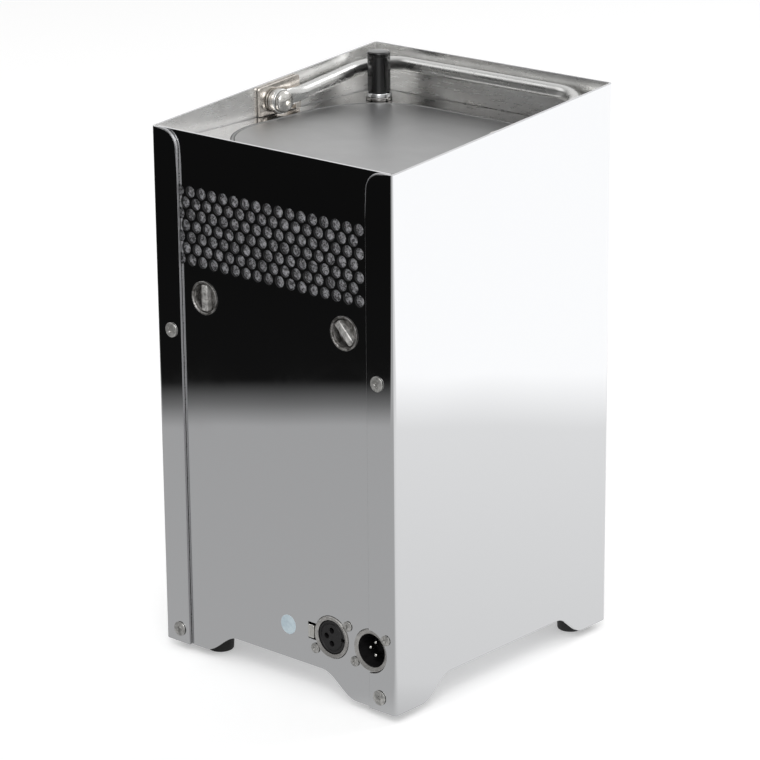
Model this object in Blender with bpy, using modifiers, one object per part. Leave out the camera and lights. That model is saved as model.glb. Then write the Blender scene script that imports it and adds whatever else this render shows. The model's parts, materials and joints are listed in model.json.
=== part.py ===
# LED floor spotlight: a battery uplight in a casing folded from polished steel sheet.
# Metres, +Z up. The origin is the middle of the footprint, at the bottom of the rubber feet.
# The face with the two round sockets looks towards -Y, and the rim rises towards +Y.

import bpy
import bmesh
from math import asin, cos, pi, radians, sin, sqrt
from mathutils import Matrix, Vector

MM = 0.001

# Fits
GAP = 0.3 * MM                  # left between pieces that touch
SLIDE_GAP = 0.4 * MM            # round what turns or slides
CUT_MARGIN = 15 * MM            # how far a cutter reaches past the casing or the heat sink

# Casing sheet, with heights measured from the sheet's bottom edge
WIDTH = 175 * MM
DEPTH = 184 * MM
FRONT_HEIGHT = 300 * MM
REAR_RISE = 17 * MM
SHEET = 1.5 * MM
BEND_RADIUS = 2.5 * MM
FLANGE_WIDTH = 19 * MM
FLANGE_CORNER = 10.5 * MM
FOOT_DROP = 5 * MM              # the feet reach this far below the sheet's edge
SCALLOP_RISE = 12.5 * MM
FRONT_LEG = 30 * MM
FRONT_SLOPE = 25 * MM
SIDE_LEG = 22 * MM
SIDE_SLOPE = 23 * MM

# Front panel behind the flanges
PANEL_SHEET = 1.5 * MM
VENT_ROWS = 7
VENT_PITCH_X = 8.2 * MM
VENT_PITCH_Z = 6.43 * MM
VENT_RADIUS = 3.2 * MM
VENT_MARGIN = 21 * MM           # from the casing's sides to the nearest hole, before the shift
VENT_SHIFT = -3 * MM            # of the pattern's middle from the panel's
VENT_BELOW_RIM = 52.5 * MM      # middle row
VENT_SIDES = 8

# Screws through the flanges
SCREW_INSET = 11.5 * MM
SCREW_LOW = 8 * MM
SCREW_BELOW_RIM = 114 * MM
SCREW_RADIUS = 1.9 * MM
SCREW_HEAD_RADIUS = 4.2 * MM
SCREW_HEAD = 1.9 * MM
SCREW_LENGTH = 9 * MM
NUT_RADIUS = 4 * MM
NUT_HEIGHT = 3 * MM

# Quarter-turn locks
LOCK_INSET = 36.1 * MM          # from the casing's side
LOCK_CAM_CLEARANCE = 1.33 * MM  # cam to the shelf above it
LOCK_RIM_RADIUS = 10.2 * MM
LOCK_RIM = 1.2 * MM
LOCK_WALL = 0.8 * MM
LOCK_BODY_RADIUS = 9 * MM
LOCK_DEPTH = 6 * MM
LOCK_FLOOR = 1 * MM
LOCK_DISC_RADIUS = 6.9 * MM
LOCK_BAR_WIDTH = 3.2 * MM
LOCK_STEM_RADIUS = 2.6 * MM
LOCK_DISC = 1.6 * MM
LOCK_CAM_LENGTH = 20 * MM
LOCK_CAM_WIDTH = 8 * MM
LOCK_CAM = 2.5 * MM
LOCK_LEFT_ANGLE = 90            # of the bars, anticlockwise from level
LOCK_RIGHT_ANGLE = 135

# Round audio-type sockets
SOCKET_HEIGHT = 33 * MM
MALE_INSET = 18.7 * MM          # from the casing's right side
SOCKET_PITCH = 29.1 * MM
BARREL_RADIUS = 12 * MM
BARREL_PROUD = 1 * MM           # in front of the panel
BARREL_DEPTH = 22 * MM
FEMALE_BORE = 9.8 * MM
MALE_BORE = 8.9 * MM
MALE_CAVITY = 17 * MM
SOCKET_FLANGE = 2 * MM
SOCKET_FLANGE_HALF_X = 14.2 * MM
SOCKET_FLANGE_HALF_Z = 13 * MM
SOCKET_SCREW_X = 12 * MM
SOCKET_SCREW_Z = 9.5 * MM
SOCKET_SCREW_RADIUS = 1.4 * MM
SOCKET_SCREW_HEAD = 2.9 * MM
SOCKET_SCREW_HEAD_HEIGHT = 1.4 * MM
SOCKET_SCREW_PAST = 2 * MM      # tip behind the socket's flange
PIN_CIRCLE = 3.8 * MM
PIN_RADIUS = 1.2 * MM
PIN_TIP_DEPTH = 6.2 * MM        # behind the barrel's front face
CONTACT_HOLE_RADIUS = 1.7 * MM
CONTACT_DEPTH = 14 * MM
INSERT_SINK = 1 * MM            # the insert's face behind the barrel's
INSERT_BACK = 3 * MM
LATCH_REACH = 17.2 * MM
LATCH_HALF_HEIGHT = 4.6 * MM
LATCH_LENGTH = 10 * MM
LATCH_TRAVEL = 1.5 * MM
LATCH_PROUD = 1.2 * MM

# Tray in the top
TRAY_BELOW_RIM = 10 * MM        # upper face of its floor
TRAY_SHEET = 1.2 * MM
TRAY_LIP = 12 * MM
WINDOW_SIDE = 11.5 * MM         # from the casing's sides
WINDOW_END = 20 * MM            # from its front and rear
GASKET_WIDTH = 1.6 * MM
GLASS_THICKNESS = 4 * MM
CLAMP_SHEET = 1.2 * MM
CLAMP_OVERLAP = 3 * MM

# Carry handle
PIVOT_BEHIND = 2.5 * MM         # the middle of the casing
PIVOT_RISE = 8 * MM             # above the tray's floor
HANDLE_ROD = 8.5 * MM
HANDLE_REAR_GAP = 1.25 * MM     # crossbar to rear wall
HANDLE_SLOPE = 7.4
HANDLE_BEND = 24 * MM
EYE_RADIUS = 7.2 * MM
EYE_THICKNESS = 4 * MM
TONGUE_SHARE = 0.9              # the flat before the eye, of the rod's height
BRACKET_SHEET = 2 * MM
BRACKET_FRONT = 12.5 * MM       # ahead of the pivot
BRACKET_BACK = 20.5 * MM
BRACKET_BELOW_RIM = 1 * MM
WASHER_THICKNESS = 1.3 * MM
WASHER_RADIUS = 6.4 * MM
BOLT_RADIUS = 3 * MM
BOLT_HEAD_RADIUS = 6.3 * MM
BOLT_HEAD = 4 * MM
STOP_SIZE = 4 * MM

# Stub antenna
ANTENNA_TO_HANDLE = 2.25 * MM   # clearance inside the handle's rear corner
ANTENNA_BEARING = 51            # degrees off straight back, seen from the middle of that bend
ANTENNA_TO_CLAMP = 1.15 * MM
ANTENNA_RADIUS = 6.6 * MM
ANTENNA_HEIGHT = 24 * MM
ANTENNA_NUT_RADIUS = 8.4 * MM
ANTENNA_NUT = 4.2 * MM
ANTENNA_STEM_RADIUS = 3.1 * MM
ANTENNA_STEM_BELOW = 10 * MM
ANTENNA_FLANGE_RADIUS = 5.2 * MM
ANTENNA_CHAMFER = 0.8 * MM

# Light engine
LED_ROWS = 3
LENS_PITCH = 42 * MM
LENS_RADIUS = 18.5 * MM
LENS_FOOT_RADIUS = 7 * MM
LENS_HEIGHT = 8 * MM
LENS_PLATE = 1.5 * MM
LED_SIZE = 8 * MM
LED_HEIGHT = 1.6 * MM
BOARD = 1.6 * MM
SINK_BASE = 6 * MM
SINK_FINS = 13
SINK_FIN = 2 * MM
SINK_HEIGHT = 46 * MM
SINK_SIDE = 3 * MM              # from the casing's sides
SINK_FRONT = 5 * MM             # behind the panel
SINK_REAR = 10 * MM             # ahead of the rear wall
POST_RADIUS = 3.4 * MM
POST_INSET = 9 * MM

# Inner shelf
SHELF_SHEET = 1.5 * MM
SHELF_DROP = 4 * MM             # below the fins
SHELF_APRON = 33 * MM

# Bottom plate and feet
PLATE_HEIGHT = 13 * MM          # underside of the bottom plate
PLATE_SHEET = 1.6 * MM
PLATE_LIP = 10 * MM
FOOT_RADIUS = 8.3 * MM
FOOT_TAPER = 0.8 * MM
FRONT_FOOT_X = 27 * MM
FRONT_FOOT_Y = 17 * MM
REAR_FOOT_X = 15 * MM
REAR_FOOT_Y = 14 * MM
STUD_RADIUS = 2.5 * MM
STUD_ABOVE = 5 * MM

# Controls under the bottom plate
CONTROLS_BEHIND = 28 * MM       # the middle of the casing
DISPLAY_X = 46 * MM
DISPLAY_Y = 18 * MM
DISPLAY_THICKNESS = 2 * MM
DISPLAY_BORDER = 2 * MM
BUTTON_PITCH = 14 * MM
BUTTON_ROW = 22 * MM
BUTTON_RADIUS = 3.5 * MM
BUTTON_PROUD = 1.2 * MM
BUTTON_TRAVEL = 0.5 * MM
BUTTON_COLLAR = 0.8 * MM
BUTTON_COLLAR_WIDTH = 1 * MM
SWITCH_SIZE = 5 * MM
SWITCH_HEIGHT = 2 * MM
CONTROL_BOARD_LIFT = 7 * MM
ROCKER_X = 34 * MM
ROCKER_AHEAD = 22 * MM          # of the middle of the casing
ROCKER_LENGTH = 15 * MM
ROCKER_WIDTH = 10 * MM
ROCKER_WALL = 2 * MM
ROCKER_RIM = 1.5 * MM
ROCKER_BODY = 12 * MM
ROCKER_TILT = 8
CHARGE_X = -34 * MM
CHARGE_RADIUS = 5.5 * MM
CHARGE_RIM = 7 * MM
CHARGE_BORE = 2.8 * MM
CHARGE_PIN = 1 * MM
CHARGE_DEPTH = 14 * MM
CHARGE_FLOOR = 4 * MM
CHARGE_PIN_SINK = 1 * MM

# Battery and electronics
BATTERY_LENGTH = 104 * MM
BATTERY_WIDTH = 74 * MM
BATTERY_HEIGHT = 108 * MM
BATTERY_EDGE = 2 * MM
BATTERY_BEHIND = 12 * MM        # the middle of the casing
BATTERY_LIFT = 26 * MM          # above the bottom plate
CRADLE_SHEET = 1.5 * MM
CRADLE_MARGIN = 12 * MM
CRADLE_FOOT = 10 * MM
STRAP_WIDTH = 18 * MM
STRAP_THICKNESS = 1.2 * MM
STRAP_FOOT = 8 * MM
DRIVER_X = 110 * MM
DRIVER_Z = 120 * MM
DRIVER_FROM_BACK = 12 * MM
DRIVER_HEIGHT = 70 * MM         # lower edge of the board
BOARD_POST = 3 * MM
BOARD_POST_INSET = 6 * MM
RADIO_X = 24 * MM
RADIO_Z = 32 * MM
RADIO_THICKNESS = 3 * MM
LEAD_RADIUS = 1.3 * MM
LEAD_BEND = 6 * MM

# Places worked out from the sizes above
PROUD = GAP + SCREW_HEAD
Y_FRONT = -(DEPTH - PROUD) / 2
Y_BACK = Y_FRONT + DEPTH
INNER_X = WIDTH / 2 - SHEET
REAR_EDGE = Y_BACK - SHEET - (BEND_RADIUS - SHEET) / 2 - GAP      # clears the folds' inner radius
PANEL_FRONT = SHEET + GAP
PANEL_BACK = PANEL_FRONT + PANEL_SHEET
PANEL_HALF = WIDTH / 2 - BEND_RADIUS - GAP
FLANGE_EDGE = WIDTH / 2 - FLANGE_WIDTH
VENT_COLUMNS = 1 + 2 * int((WIDTH / 2 - VENT_MARGIN) / VENT_PITCH_X)
VENT_HEIGHT = FRONT_HEIGHT - VENT_BELOW_RIM
SCREW_HIGH = FRONT_HEIGHT - SCREW_BELOW_RIM
LOCK_OFFSET = WIDTH / 2 - LOCK_INSET
MALE_X = WIDTH / 2 - MALE_INSET
FEMALE_X = MALE_X - SOCKET_PITCH
TRAY_HEIGHT = FRONT_HEIGHT - TRAY_BELOW_RIM
TRAY_Z = FOOT_DROP + TRAY_HEIGHT
PLATE_Z = FOOT_DROP + PLATE_HEIGHT
PLATE_TOP = PLATE_Z + PLATE_SHEET
SOCKET_Z = FOOT_DROP + SOCKET_HEIGHT
GLASS_LOW = TRAY_Z - GLASS_THICKNESS
CLAMP_TOP = GLASS_LOW - GAP
CLAMP_LOW = CLAMP_TOP - CLAMP_SHEET
LENS_TOP = CLAMP_LOW - GAP
LENS_LOW = LENS_TOP - LENS_HEIGHT
LED_BOARD_TOP = LENS_LOW - GAP - LED_HEIGHT - GAP
LED_BOARD_LOW = LED_BOARD_TOP - BOARD
SINK_TOP = LED_BOARD_LOW - GAP
SINK_LOW = SINK_TOP - SINK_HEIGHT
SHELF_TOP = SINK_LOW - SHELF_DROP
LOCK_CAM_SWING = sqrt(LOCK_CAM_LENGTH ** 2 + LOCK_CAM_WIDTH ** 2) / 2
LOCK_HEIGHT = SHELF_TOP - SHELF_SHEET - LOCK_CAM_CLEARANCE - LOCK_CAM_SWING - FOOT_DROP
SINK_BACK_Y = Y_BACK - SHEET - SINK_REAR
LOCK_STEM_END = -(LOCK_DEPTH + GAP + SHELF_SHEET + GAP)       # where the cam starts
BRACKET_FACE = INNER_X - GAP - BRACKET_SHEET
ARM_X = BRACKET_FACE - 1.5 * GAP - HANDLE_ROD / 2
EYE_OUTER = BRACKET_FACE - GAP - WASHER_THICKNESS - GAP
PIVOT_DEPTH = DEPTH / 2 + PIVOT_BEHIND
PIVOT = Vector((0, Y_FRONT + PIVOT_DEPTH, TRAY_Z + PIVOT_RISE))
HANDLE_ROOM = DEPTH - SHEET - HANDLE_REAR_GAP - HANDLE_ROD / 2 - PIVOT_DEPTH
HANDLE_REACH = HANDLE_ROOM / cos(radians(HANDLE_SLOPE))
ARM_LENGTH = (HANDLE_REACH - HANDLE_BEND) * cos(radians(HANDLE_SLOPE))
BEND_MIDDLE = Vector((ARM_X - HANDLE_BEND, PIVOT.y + ARM_LENGTH, 0))
ANTENNA_OUT = HANDLE_BEND - HANDLE_ROD / 2 - ANTENNA_RADIUS - ANTENNA_TO_HANDLE
ANTENNA_AT = Vector((-BEND_MIDDLE.x - ANTENNA_OUT * sin(radians(ANTENNA_BEARING)),
                     BEND_MIDDLE.y + ANTENNA_OUT * cos(radians(ANTENNA_BEARING)), TRAY_Z))
WINDOW_HALF_X = WIDTH / 2 - WINDOW_SIDE
WINDOW_HALF_Y = DEPTH / 2 - WINDOW_END
MIDDLE_Y = Y_FRONT + DEPTH / 2
CONTROL_Y = MIDDLE_Y + CONTROLS_BEHIND
ROCKER_Y = MIDDLE_Y - ROCKER_AHEAD
BATTERY_Y = MIDDLE_Y + BATTERY_BEHIND

FACING_FRONT = Matrix.Rotation(radians(90), 4, "X")      # local +Z looks towards -Y
FACING_RIGHT = Matrix.Rotation(radians(90), 4, "Y")      # local +Z looks towards +X
FACING_LEFT = Matrix.Rotation(radians(-90), 4, "Y")
FACING_DOWN = Matrix.Rotation(radians(180), 4, "X")
SIDE_ON = FACING_RIGHT @ Matrix.Rotation(radians(90), 4, "Z")       # outline's X runs back, its Y up
FOLD_ACROSS = Matrix(((0, 0, 1, 0), (0, -1, 0, 0), (1, 0, 0, 0), (0, 0, 0, 1)))


# Scene, collections and materials

def clear_scene():
    for item in list(bpy.data.objects):
        bpy.data.objects.remove(item, do_unlink=True)


def collection(name):
    made = bpy.data.collections.new(name)
    bpy.context.scene.collection.children.link(made)
    return made


def paint(name, colour, roughness, metallic=0.0, alpha=1.0):
    made = bpy.data.materials.new(name)
    made.use_nodes = True
    shader = made.node_tree.nodes["Principled BSDF"]
    shader.inputs["Base Color"].default_value = (*colour, 1)
    shader.inputs["Roughness"].default_value = roughness
    shader.inputs["Metallic"].default_value = metallic
    shader.inputs["Alpha"].default_value = alpha
    made.diffuse_color = (*colour, alpha)
    return made


clear_scene()
PARTS = collection("led_floor_spotlight")
CUTTERS = collection("cutters")

POLISHED = ((0.80, 0.80, 0.79), 0.06, 1.0)
ZINC = ((0.62, 0.62, 0.60), 0.30, 1.0)
BLACK_PLASTIC = ((0.02, 0.02, 0.02), 0.40)
RUBBER = ((0.025, 0.025, 0.025), 0.75)
DARK_METAL = ((0.35, 0.35, 0.35), 0.25, 1.0)
BRASS = ((0.70, 0.52, 0.22), 0.25, 1.0)
ALUMINIUM = ((0.66, 0.67, 0.68), 0.38, 1.0)
GLASS = ((0.75, 0.80, 0.80), 0.03, 0.0, 0.35)
BOARD_WHITE = ((0.85, 0.85, 0.83), 0.4)
LED_YELLOW = ((0.75, 0.65, 0.20), 0.35)
LENS_CLEAR = ((0.85, 0.88, 0.90), 0.05, 0.0, 0.4)
BATTERY_BLUE = ((0.05, 0.12, 0.30), 0.45)
LEAD_BLACK = ((0.02, 0.02, 0.02), 0.5)
BOARD_GREEN = ((0.03, 0.16, 0.07), 0.45)


# Shape helpers

def keep(name, data, place, finish):
    made = bpy.data.objects.new(name, data)
    made.matrix_world = place
    if finish:
        data.materials.append(paint(name, *finish))
        PARTS.objects.link(made)
    else:
        CUTTERS.objects.link(made)
        made.hide_render = True
        made.display_type = "WIRE"
    return made


def at(x, y, z):
    return Matrix.Translation((x, y, z))


def mesh_from(bm, name):
    data = bpy.data.meshes.new(name)
    bm.to_mesh(data)
    bm.free()
    return data


def block(name, low, high, finish=None, turn=Matrix()):
    """A box between two corners, turned about its own middle."""
    low, high = Vector(low), Vector(high)
    bm = bmesh.new()
    bmesh.ops.create_cube(bm, size=1)
    bmesh.ops.scale(bm, vec=high - low, verts=bm.verts)
    return keep(name, mesh_from(bm, name), Matrix.Translation((low + high) / 2) @ turn, finish)


def rod(name, radius, length, place, finish=None, sides=16):
    """A cylinder that runs from its place along local +Z."""
    bm = bmesh.new()
    bmesh.ops.create_cone(bm, cap_ends=True, segments=sides, radius1=radius, radius2=radius, depth=length)
    bmesh.ops.translate(bm, vec=(0, 0, length / 2), verts=bm.verts)
    made = keep(name, mesh_from(bm, name), place, finish)
    smooth(made)
    return made


def smooth(made):
    made.data.shade_smooth()
    made.data.set_sharp_from_angle(angle=radians(35))


def turned(name, profile, place, finish=None, sides=16):
    """A (radius, height) profile turned about local Z: its outer side runs downwards."""
    bm = bmesh.new()
    verts = [bm.verts.new((radius, 0, height)) for radius, height in profile]
    for first, second in zip(verts, verts[1:]):
        bm.edges.new((first, second))
    if profile[0][0] > 0:
        bm.edges.new((verts[-1], verts[0]))
    made = keep(name, mesh_from(bm, name), place, finish)
    screw = made.modifiers.new("turn", "SCREW")
    screw.steps = sides
    screw.render_steps = sides
    screw.use_merge_vertices = True
    screw.merge_threshold = 0.00001
    screw.use_smooth_shade = True
    return made


def flat(name, loops, thickness, place, finish=None):
    """A flat outline with holes, in local XY, standing from its place along local +Z."""
    data = bpy.data.curves.new(name, "CURVE")
    data.dimensions = "2D"
    data.fill_mode = "BOTH"
    data.extrude = thickness / 2
    for loop in loops:
        spline = data.splines.new("POLY")
        spline.points.add(len(loop) - 1)
        for point, (x, y) in zip(spline.points, loop):
            point.co = (x, y, 0, 1)
        spline.use_cyclic_u = True
    return keep(name, data, place @ Matrix.Translation((0, 0, thickness / 2)), finish)


def tube(name, points, radius, finish, place=Matrix(), resolution=4):
    data = bpy.data.curves.new(name, "CURVE")
    data.dimensions = "3D"
    data.bevel_depth = radius
    data.bevel_resolution = resolution
    data.use_fill_caps = True
    spline = data.splines.new("POLY")
    spline.points.add(len(points) - 1)
    for point, xyz in zip(spline.points, points):
        point.co = (*xyz, 1)
    return keep(name, data, place, finish)


def folded(name, path, low, high, thickness, finish, bend=0.0, place=Matrix()):
    """Sheet folded along a plan path whose right-hand side is its outer face."""
    bm = bmesh.new()
    verts = [bm.verts.new((x, y, low)) for x, y in path]
    edges = [bm.edges.new(pair) for pair in zip(verts, verts[1:])]
    raised = bmesh.ops.extrude_edge_only(bm, edges=edges)["geom"]
    risen = [item for item in raised if isinstance(item, bmesh.types.BMVert)]
    bmesh.ops.translate(bm, vec=(0, 0, high - low), verts=risen)
    for face in bm.faces:
        middle = face.calc_center_median()
        first, second = nearest_run(path, middle)
        along = Vector((second[0] - first[0], second[1] - first[1], 0))
        if face.normal.dot(Vector((along.y, -along.x, 0))) < 0:
            face.normal_flip()
    made = keep(name, mesh_from(bm, name), place, finish)
    if bend:
        bevel = made.modifiers.new("folds", "BEVEL")
        bevel.width = bend
        bevel.segments = 3
        bevel.limit_method = "ANGLE"
    wall = made.modifiers.new("sheet", "SOLIDIFY")
    wall.thickness = thickness
    wall.offset = -1
    wall.use_even_offset = True
    return made


def nearest_run(path, point):
    def away(run):
        middle_x = (run[0][0] + run[1][0]) / 2
        middle_y = (run[0][1] + run[1][1]) / 2
        return (middle_x - point.x) ** 2 + (middle_y - point.y) ** 2
    return min(zip(path, path[1:]), key=away)


def circle(radius, x=0.0, y=0.0, sides=16):
    angles = [2 * pi * k / sides for k in range(sides)]
    return [(x + radius * cos(angle), y + radius * sin(angle)) for angle in angles]


def rounded(low_x, high_x, low_y, high_y, radius, steps=6):
    loop = []
    corners = ((high_x, high_y, 0), (low_x, high_y, 90), (low_x, low_y, 180), (high_x, low_y, 270))
    for x, y, start in corners:
        centre_x = x - radius if x == high_x else x + radius
        centre_y = y - radius if y == high_y else y + radius
        for k in range(steps + 1):
            angle = radians(start + 90 * k / steps)
            loop.append((centre_x + radius * cos(angle), centre_y + radius * sin(angle)))
    return loop


def cut(target, cutter, how="DIFFERENCE"):
    boolean = target.modifiers.new(how.lower(), "BOOLEAN")
    boolean.operation = how
    boolean.solver = "EXACT"
    boolean.object = cutter
    return target


def as_mesh(source, finish=None):
    """The same shape as a welded mesh, so that it can be cut, joined or used as a cutter."""
    bpy.context.view_layer.update()
    evaluated = source.evaluated_get(bpy.context.evaluated_depsgraph_get())
    data = bpy.data.meshes.new_from_object(evaluated)
    bm = bmesh.new()
    bm.from_mesh(data)
    bmesh.ops.remove_doubles(bm, verts=bm.verts, dist=0.00001)
    bmesh.ops.recalc_face_normals(bm, faces=bm.faces)
    bm.to_mesh(data)
    bm.free()
    data.materials.clear()
    place = source.matrix_world.copy()
    name = source.name
    bpy.data.objects.remove(source, do_unlink=True)
    return keep(name, data, place, finish)


def gathered(name, source, places):
    """Copies of one shape at several places, gathered into one cutter."""
    template = as_mesh(source)
    joined = bmesh.new()
    for place in places:
        first = len(joined.verts)
        joined.from_mesh(template.data)
        joined.verts.ensure_lookup_table()
        bmesh.ops.transform(joined, matrix=place, verts=joined.verts[first:])
    bpy.data.objects.remove(template, do_unlink=True)
    return keep(name, mesh_from(joined, name), Matrix(), None)


def front(x, depth, height):
    """A place on the front: depth behind the flanges' outer face, height above the sheet's edge."""
    return at(x, Y_FRONT + depth, FOOT_DROP + height)


def rim_height(depth):
    return FRONT_HEIGHT + REAR_RISE * depth / DEPTH


# Casing

def scallop(half_span, leg, slope, below, steps=8):
    """Outline of the relief in a bottom edge: flat top, S-shaped ends, open below."""
    outer = half_span - leg
    inner = outer - slope
    rise = [(inner + slope * k / steps, SCALLOP_RISE * (1 + cos(pi * k / steps)) / 2)
            for k in range(steps + 1)]
    left = [(-x, z) for x, z in rise]
    return [(outer, -below), *reversed(rise), *left, (-outer, -below)]


def scallop_cutter(name, half_span, leg, slope, length, place):
    below = 2 * SHEET
    shape = flat(name, [scallop(half_span, leg, slope, below)], length, place)
    return as_mesh(shape)


def outer_shell():
    half = WIDTH / 2
    path = [(-FLANGE_EDGE, Y_FRONT), (-half, Y_FRONT), (-half, Y_BACK),
            (half, Y_BACK), (half, Y_FRONT), (FLANGE_EDGE, Y_FRONT)]
    path.reverse()
    top = FOOT_DROP + FRONT_HEIGHT + REAR_RISE
    shell = folded("outer_shell", path, FOOT_DROP, top, SHEET, POLISHED, BEND_RADIUS)

    margin = CUT_MARGIN
    slope = [(0, rim_height(0)), (DEPTH, rim_height(DEPTH)), (DEPTH + margin, rim_height(DEPTH + margin)),
             (DEPTH + margin, rim_height(DEPTH) + margin + REAR_RISE),
             (-margin, rim_height(DEPTH) + margin + REAR_RISE), (-margin, rim_height(-margin))]
    side_on = at(-half - margin, Y_FRONT, FOOT_DROP) @ SIDE_ON
    cut(shell, as_mesh(flat("rim_cutter", [slope], WIDTH + 2 * margin, side_on)))

    through_y = at(0, Y_BACK + margin, FOOT_DROP) @ FACING_FRONT
    cut(shell, scallop_cutter("front_scallop_cutter", half, FRONT_LEG, FRONT_SLOPE,
                              DEPTH + 2 * margin, through_y))
    through_x = at(-half - margin, Y_FRONT + DEPTH / 2, FOOT_DROP) @ SIDE_ON
    cut(shell, scallop_cutter("side_scallop_cutter", DEPTH / 2, SIDE_LEG, SIDE_SLOPE,
                              WIDTH + 2 * margin, through_x))

    for side in (-1, 1):
        cut(shell, flange_corner_cutter(side))
    holes = flange_screw_places()
    cutter = rod("flange_hole_cutter", SCREW_RADIUS + GAP, 4 * SHEET, Matrix(), sides=16)
    cut(shell, gathered("flange_hole_cutters", cutter, [place @ at(0, 0, -2 * SHEET) for place in holes]))
    clearance = rod("socket_clearance", BARREL_RADIUS + GAP, 2 * SHEET,
                    front(MALE_X, SHEET * 1.5, SOCKET_HEIGHT) @ FACING_FRONT, sides=20)
    cut(shell, clearance)
    fixing = front(MALE_X + SOCKET_SCREW_X, SHEET * 1.5, SOCKET_HEIGHT + SOCKET_SCREW_Z) @ FACING_FRONT
    cut(shell, rod("socket_fixing_hole", SOCKET_SCREW_RADIUS + GAP, 2 * SHEET, fixing, sides=12))
    return shell


def flange_corner_cutter(side):
    """What rounds a flange's top inner corner off."""
    top = rim_height(0)
    radius = FLANGE_CORNER
    centre_x = FLANGE_EDGE + radius
    centre_z = top - radius
    steps = 8
    arc = [(centre_x - radius * cos(pi / 2 * k / steps), centre_z + radius * sin(pi / 2 * k / steps))
           for k in range(steps + 1)]
    beyond = 2 * SHEET
    outside = FLANGE_EDGE - beyond
    loop = [*arc, (centre_x, top + beyond), (outside, top + beyond), (outside, centre_z)]
    loop = [(side * x, z) for x, z in loop]
    place = front(0, SHEET * 1.5, 0) @ FACING_FRONT
    return as_mesh(flat("flange_corner_cutter", [loop], 3 * SHEET, place))


def flange_screw_places():
    x = WIDTH / 2 - SCREW_INSET
    return [front(side * x, 0, height) @ FACING_FRONT
            for side in (-1, 1) for height in (SCREW_LOW, SCREW_HIGH)]


def vent_places():
    places = []
    middle = (VENT_ROWS - 1) / 2
    for row in range(VENT_ROWS):
        count = VENT_COLUMNS - row % 2
        height = VENT_HEIGHT + (middle - row) * VENT_PITCH_Z
        for column in range(count):
            x = VENT_SHIFT + (column - (count - 1) / 2) * VENT_PITCH_X
            places.append(front(x, 0, height) @ FACING_FRONT)
    return places


def keyhole(x, z):
    """Round cut-out with the latch's notch on its left."""
    radius = BARREL_RADIUS + GAP
    notch = LATCH_HALF_HEIGHT + GAP
    start = pi - asin(notch / radius)
    steps = 16
    angles = [start * (2 * k / steps - 1) for k in range(steps + 1)]
    arc = [(x + radius * cos(angle), z + radius * sin(angle)) for angle in angles]
    return [*arc, (x - LATCH_REACH - GAP, z + notch), (x - LATCH_REACH - GAP, z - notch)]


def front_panel():
    inner = scallop(WIDTH / 2, FRONT_LEG, FRONT_SLOPE, 0)
    top = rim_height(0)
    outline = [(PANEL_HALF, 0), (PANEL_HALF, top), (-PANEL_HALF, top), (-PANEL_HALF, 0)]
    outline += [(x, z) for x, z in reversed(inner[1:-1])]
    loops = [outline]
    for side in (-1, 1):
        loops.append(circle(LOCK_BODY_RADIUS + GAP, side * LOCK_OFFSET, LOCK_HEIGHT, 16))
    loops.append(keyhole(FEMALE_X, SOCKET_HEIGHT))
    loops.append(circle(BARREL_RADIUS + GAP, MALE_X, SOCKET_HEIGHT, 20))
    for x, z, _ in socket_screw_spots():
        loops.append(circle(SOCKET_SCREW_RADIUS + GAP, x, z, 10))
    plate = flat("front_panel", loops, PANEL_SHEET, front(0, PANEL_BACK, 0) @ FACING_FRONT)
    plate = as_mesh(plate, POLISHED)
    vent = rod("vent_hole", VENT_RADIUS, 3 * PANEL_SHEET, Matrix(), sides=VENT_SIDES)
    vents = [place @ at(0, 0, -PANEL_BACK - PANEL_SHEET) for place in vent_places()]
    cut(plate, gathered("vent_holes", vent, vents))
    overlap = PANEL_SHEET / 3
    nut = rod("panel_nut", NUT_RADIUS, NUT_HEIGHT + overlap, Matrix(), sides=6)
    nuts = [place @ at(0, 0, -PANEL_BACK - NUT_HEIGHT) for place in flange_screw_places()]
    cut(plate, gathered("panel_nuts", nut, nuts), "UNION")
    drill = rod("panel_drill", SCREW_RADIUS + GAP, 3 * NUT_HEIGHT + PANEL_BACK, Matrix(), sides=12)
    holes = [place @ at(0, 0, -PANEL_BACK - 2 * NUT_HEIGHT) for place in flange_screw_places()]
    cut(plate, gathered("panel_drills", drill, holes))


def flange_screws():
    """Button-head screws into the nuts pressed in behind the panel."""
    head, radius = SCREW_HEAD, SCREW_HEAD_RADIUS
    profile = [(0, head), (radius * 0.6, head * 0.9), (radius * 0.9, head * 0.55), (radius, 0),
               (SCREW_RADIUS, 0), (SCREW_RADIUS, -SCREW_LENGTH), (0, -SCREW_LENGTH)]
    names = ("left_low", "left_high", "right_low", "right_high")
    for name, place in zip(names, flange_screw_places()):
        turned("flange_screw_" + name, profile, place @ at(0, 0, GAP), ZINC, 16)


# Quarter-turn locks

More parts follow.
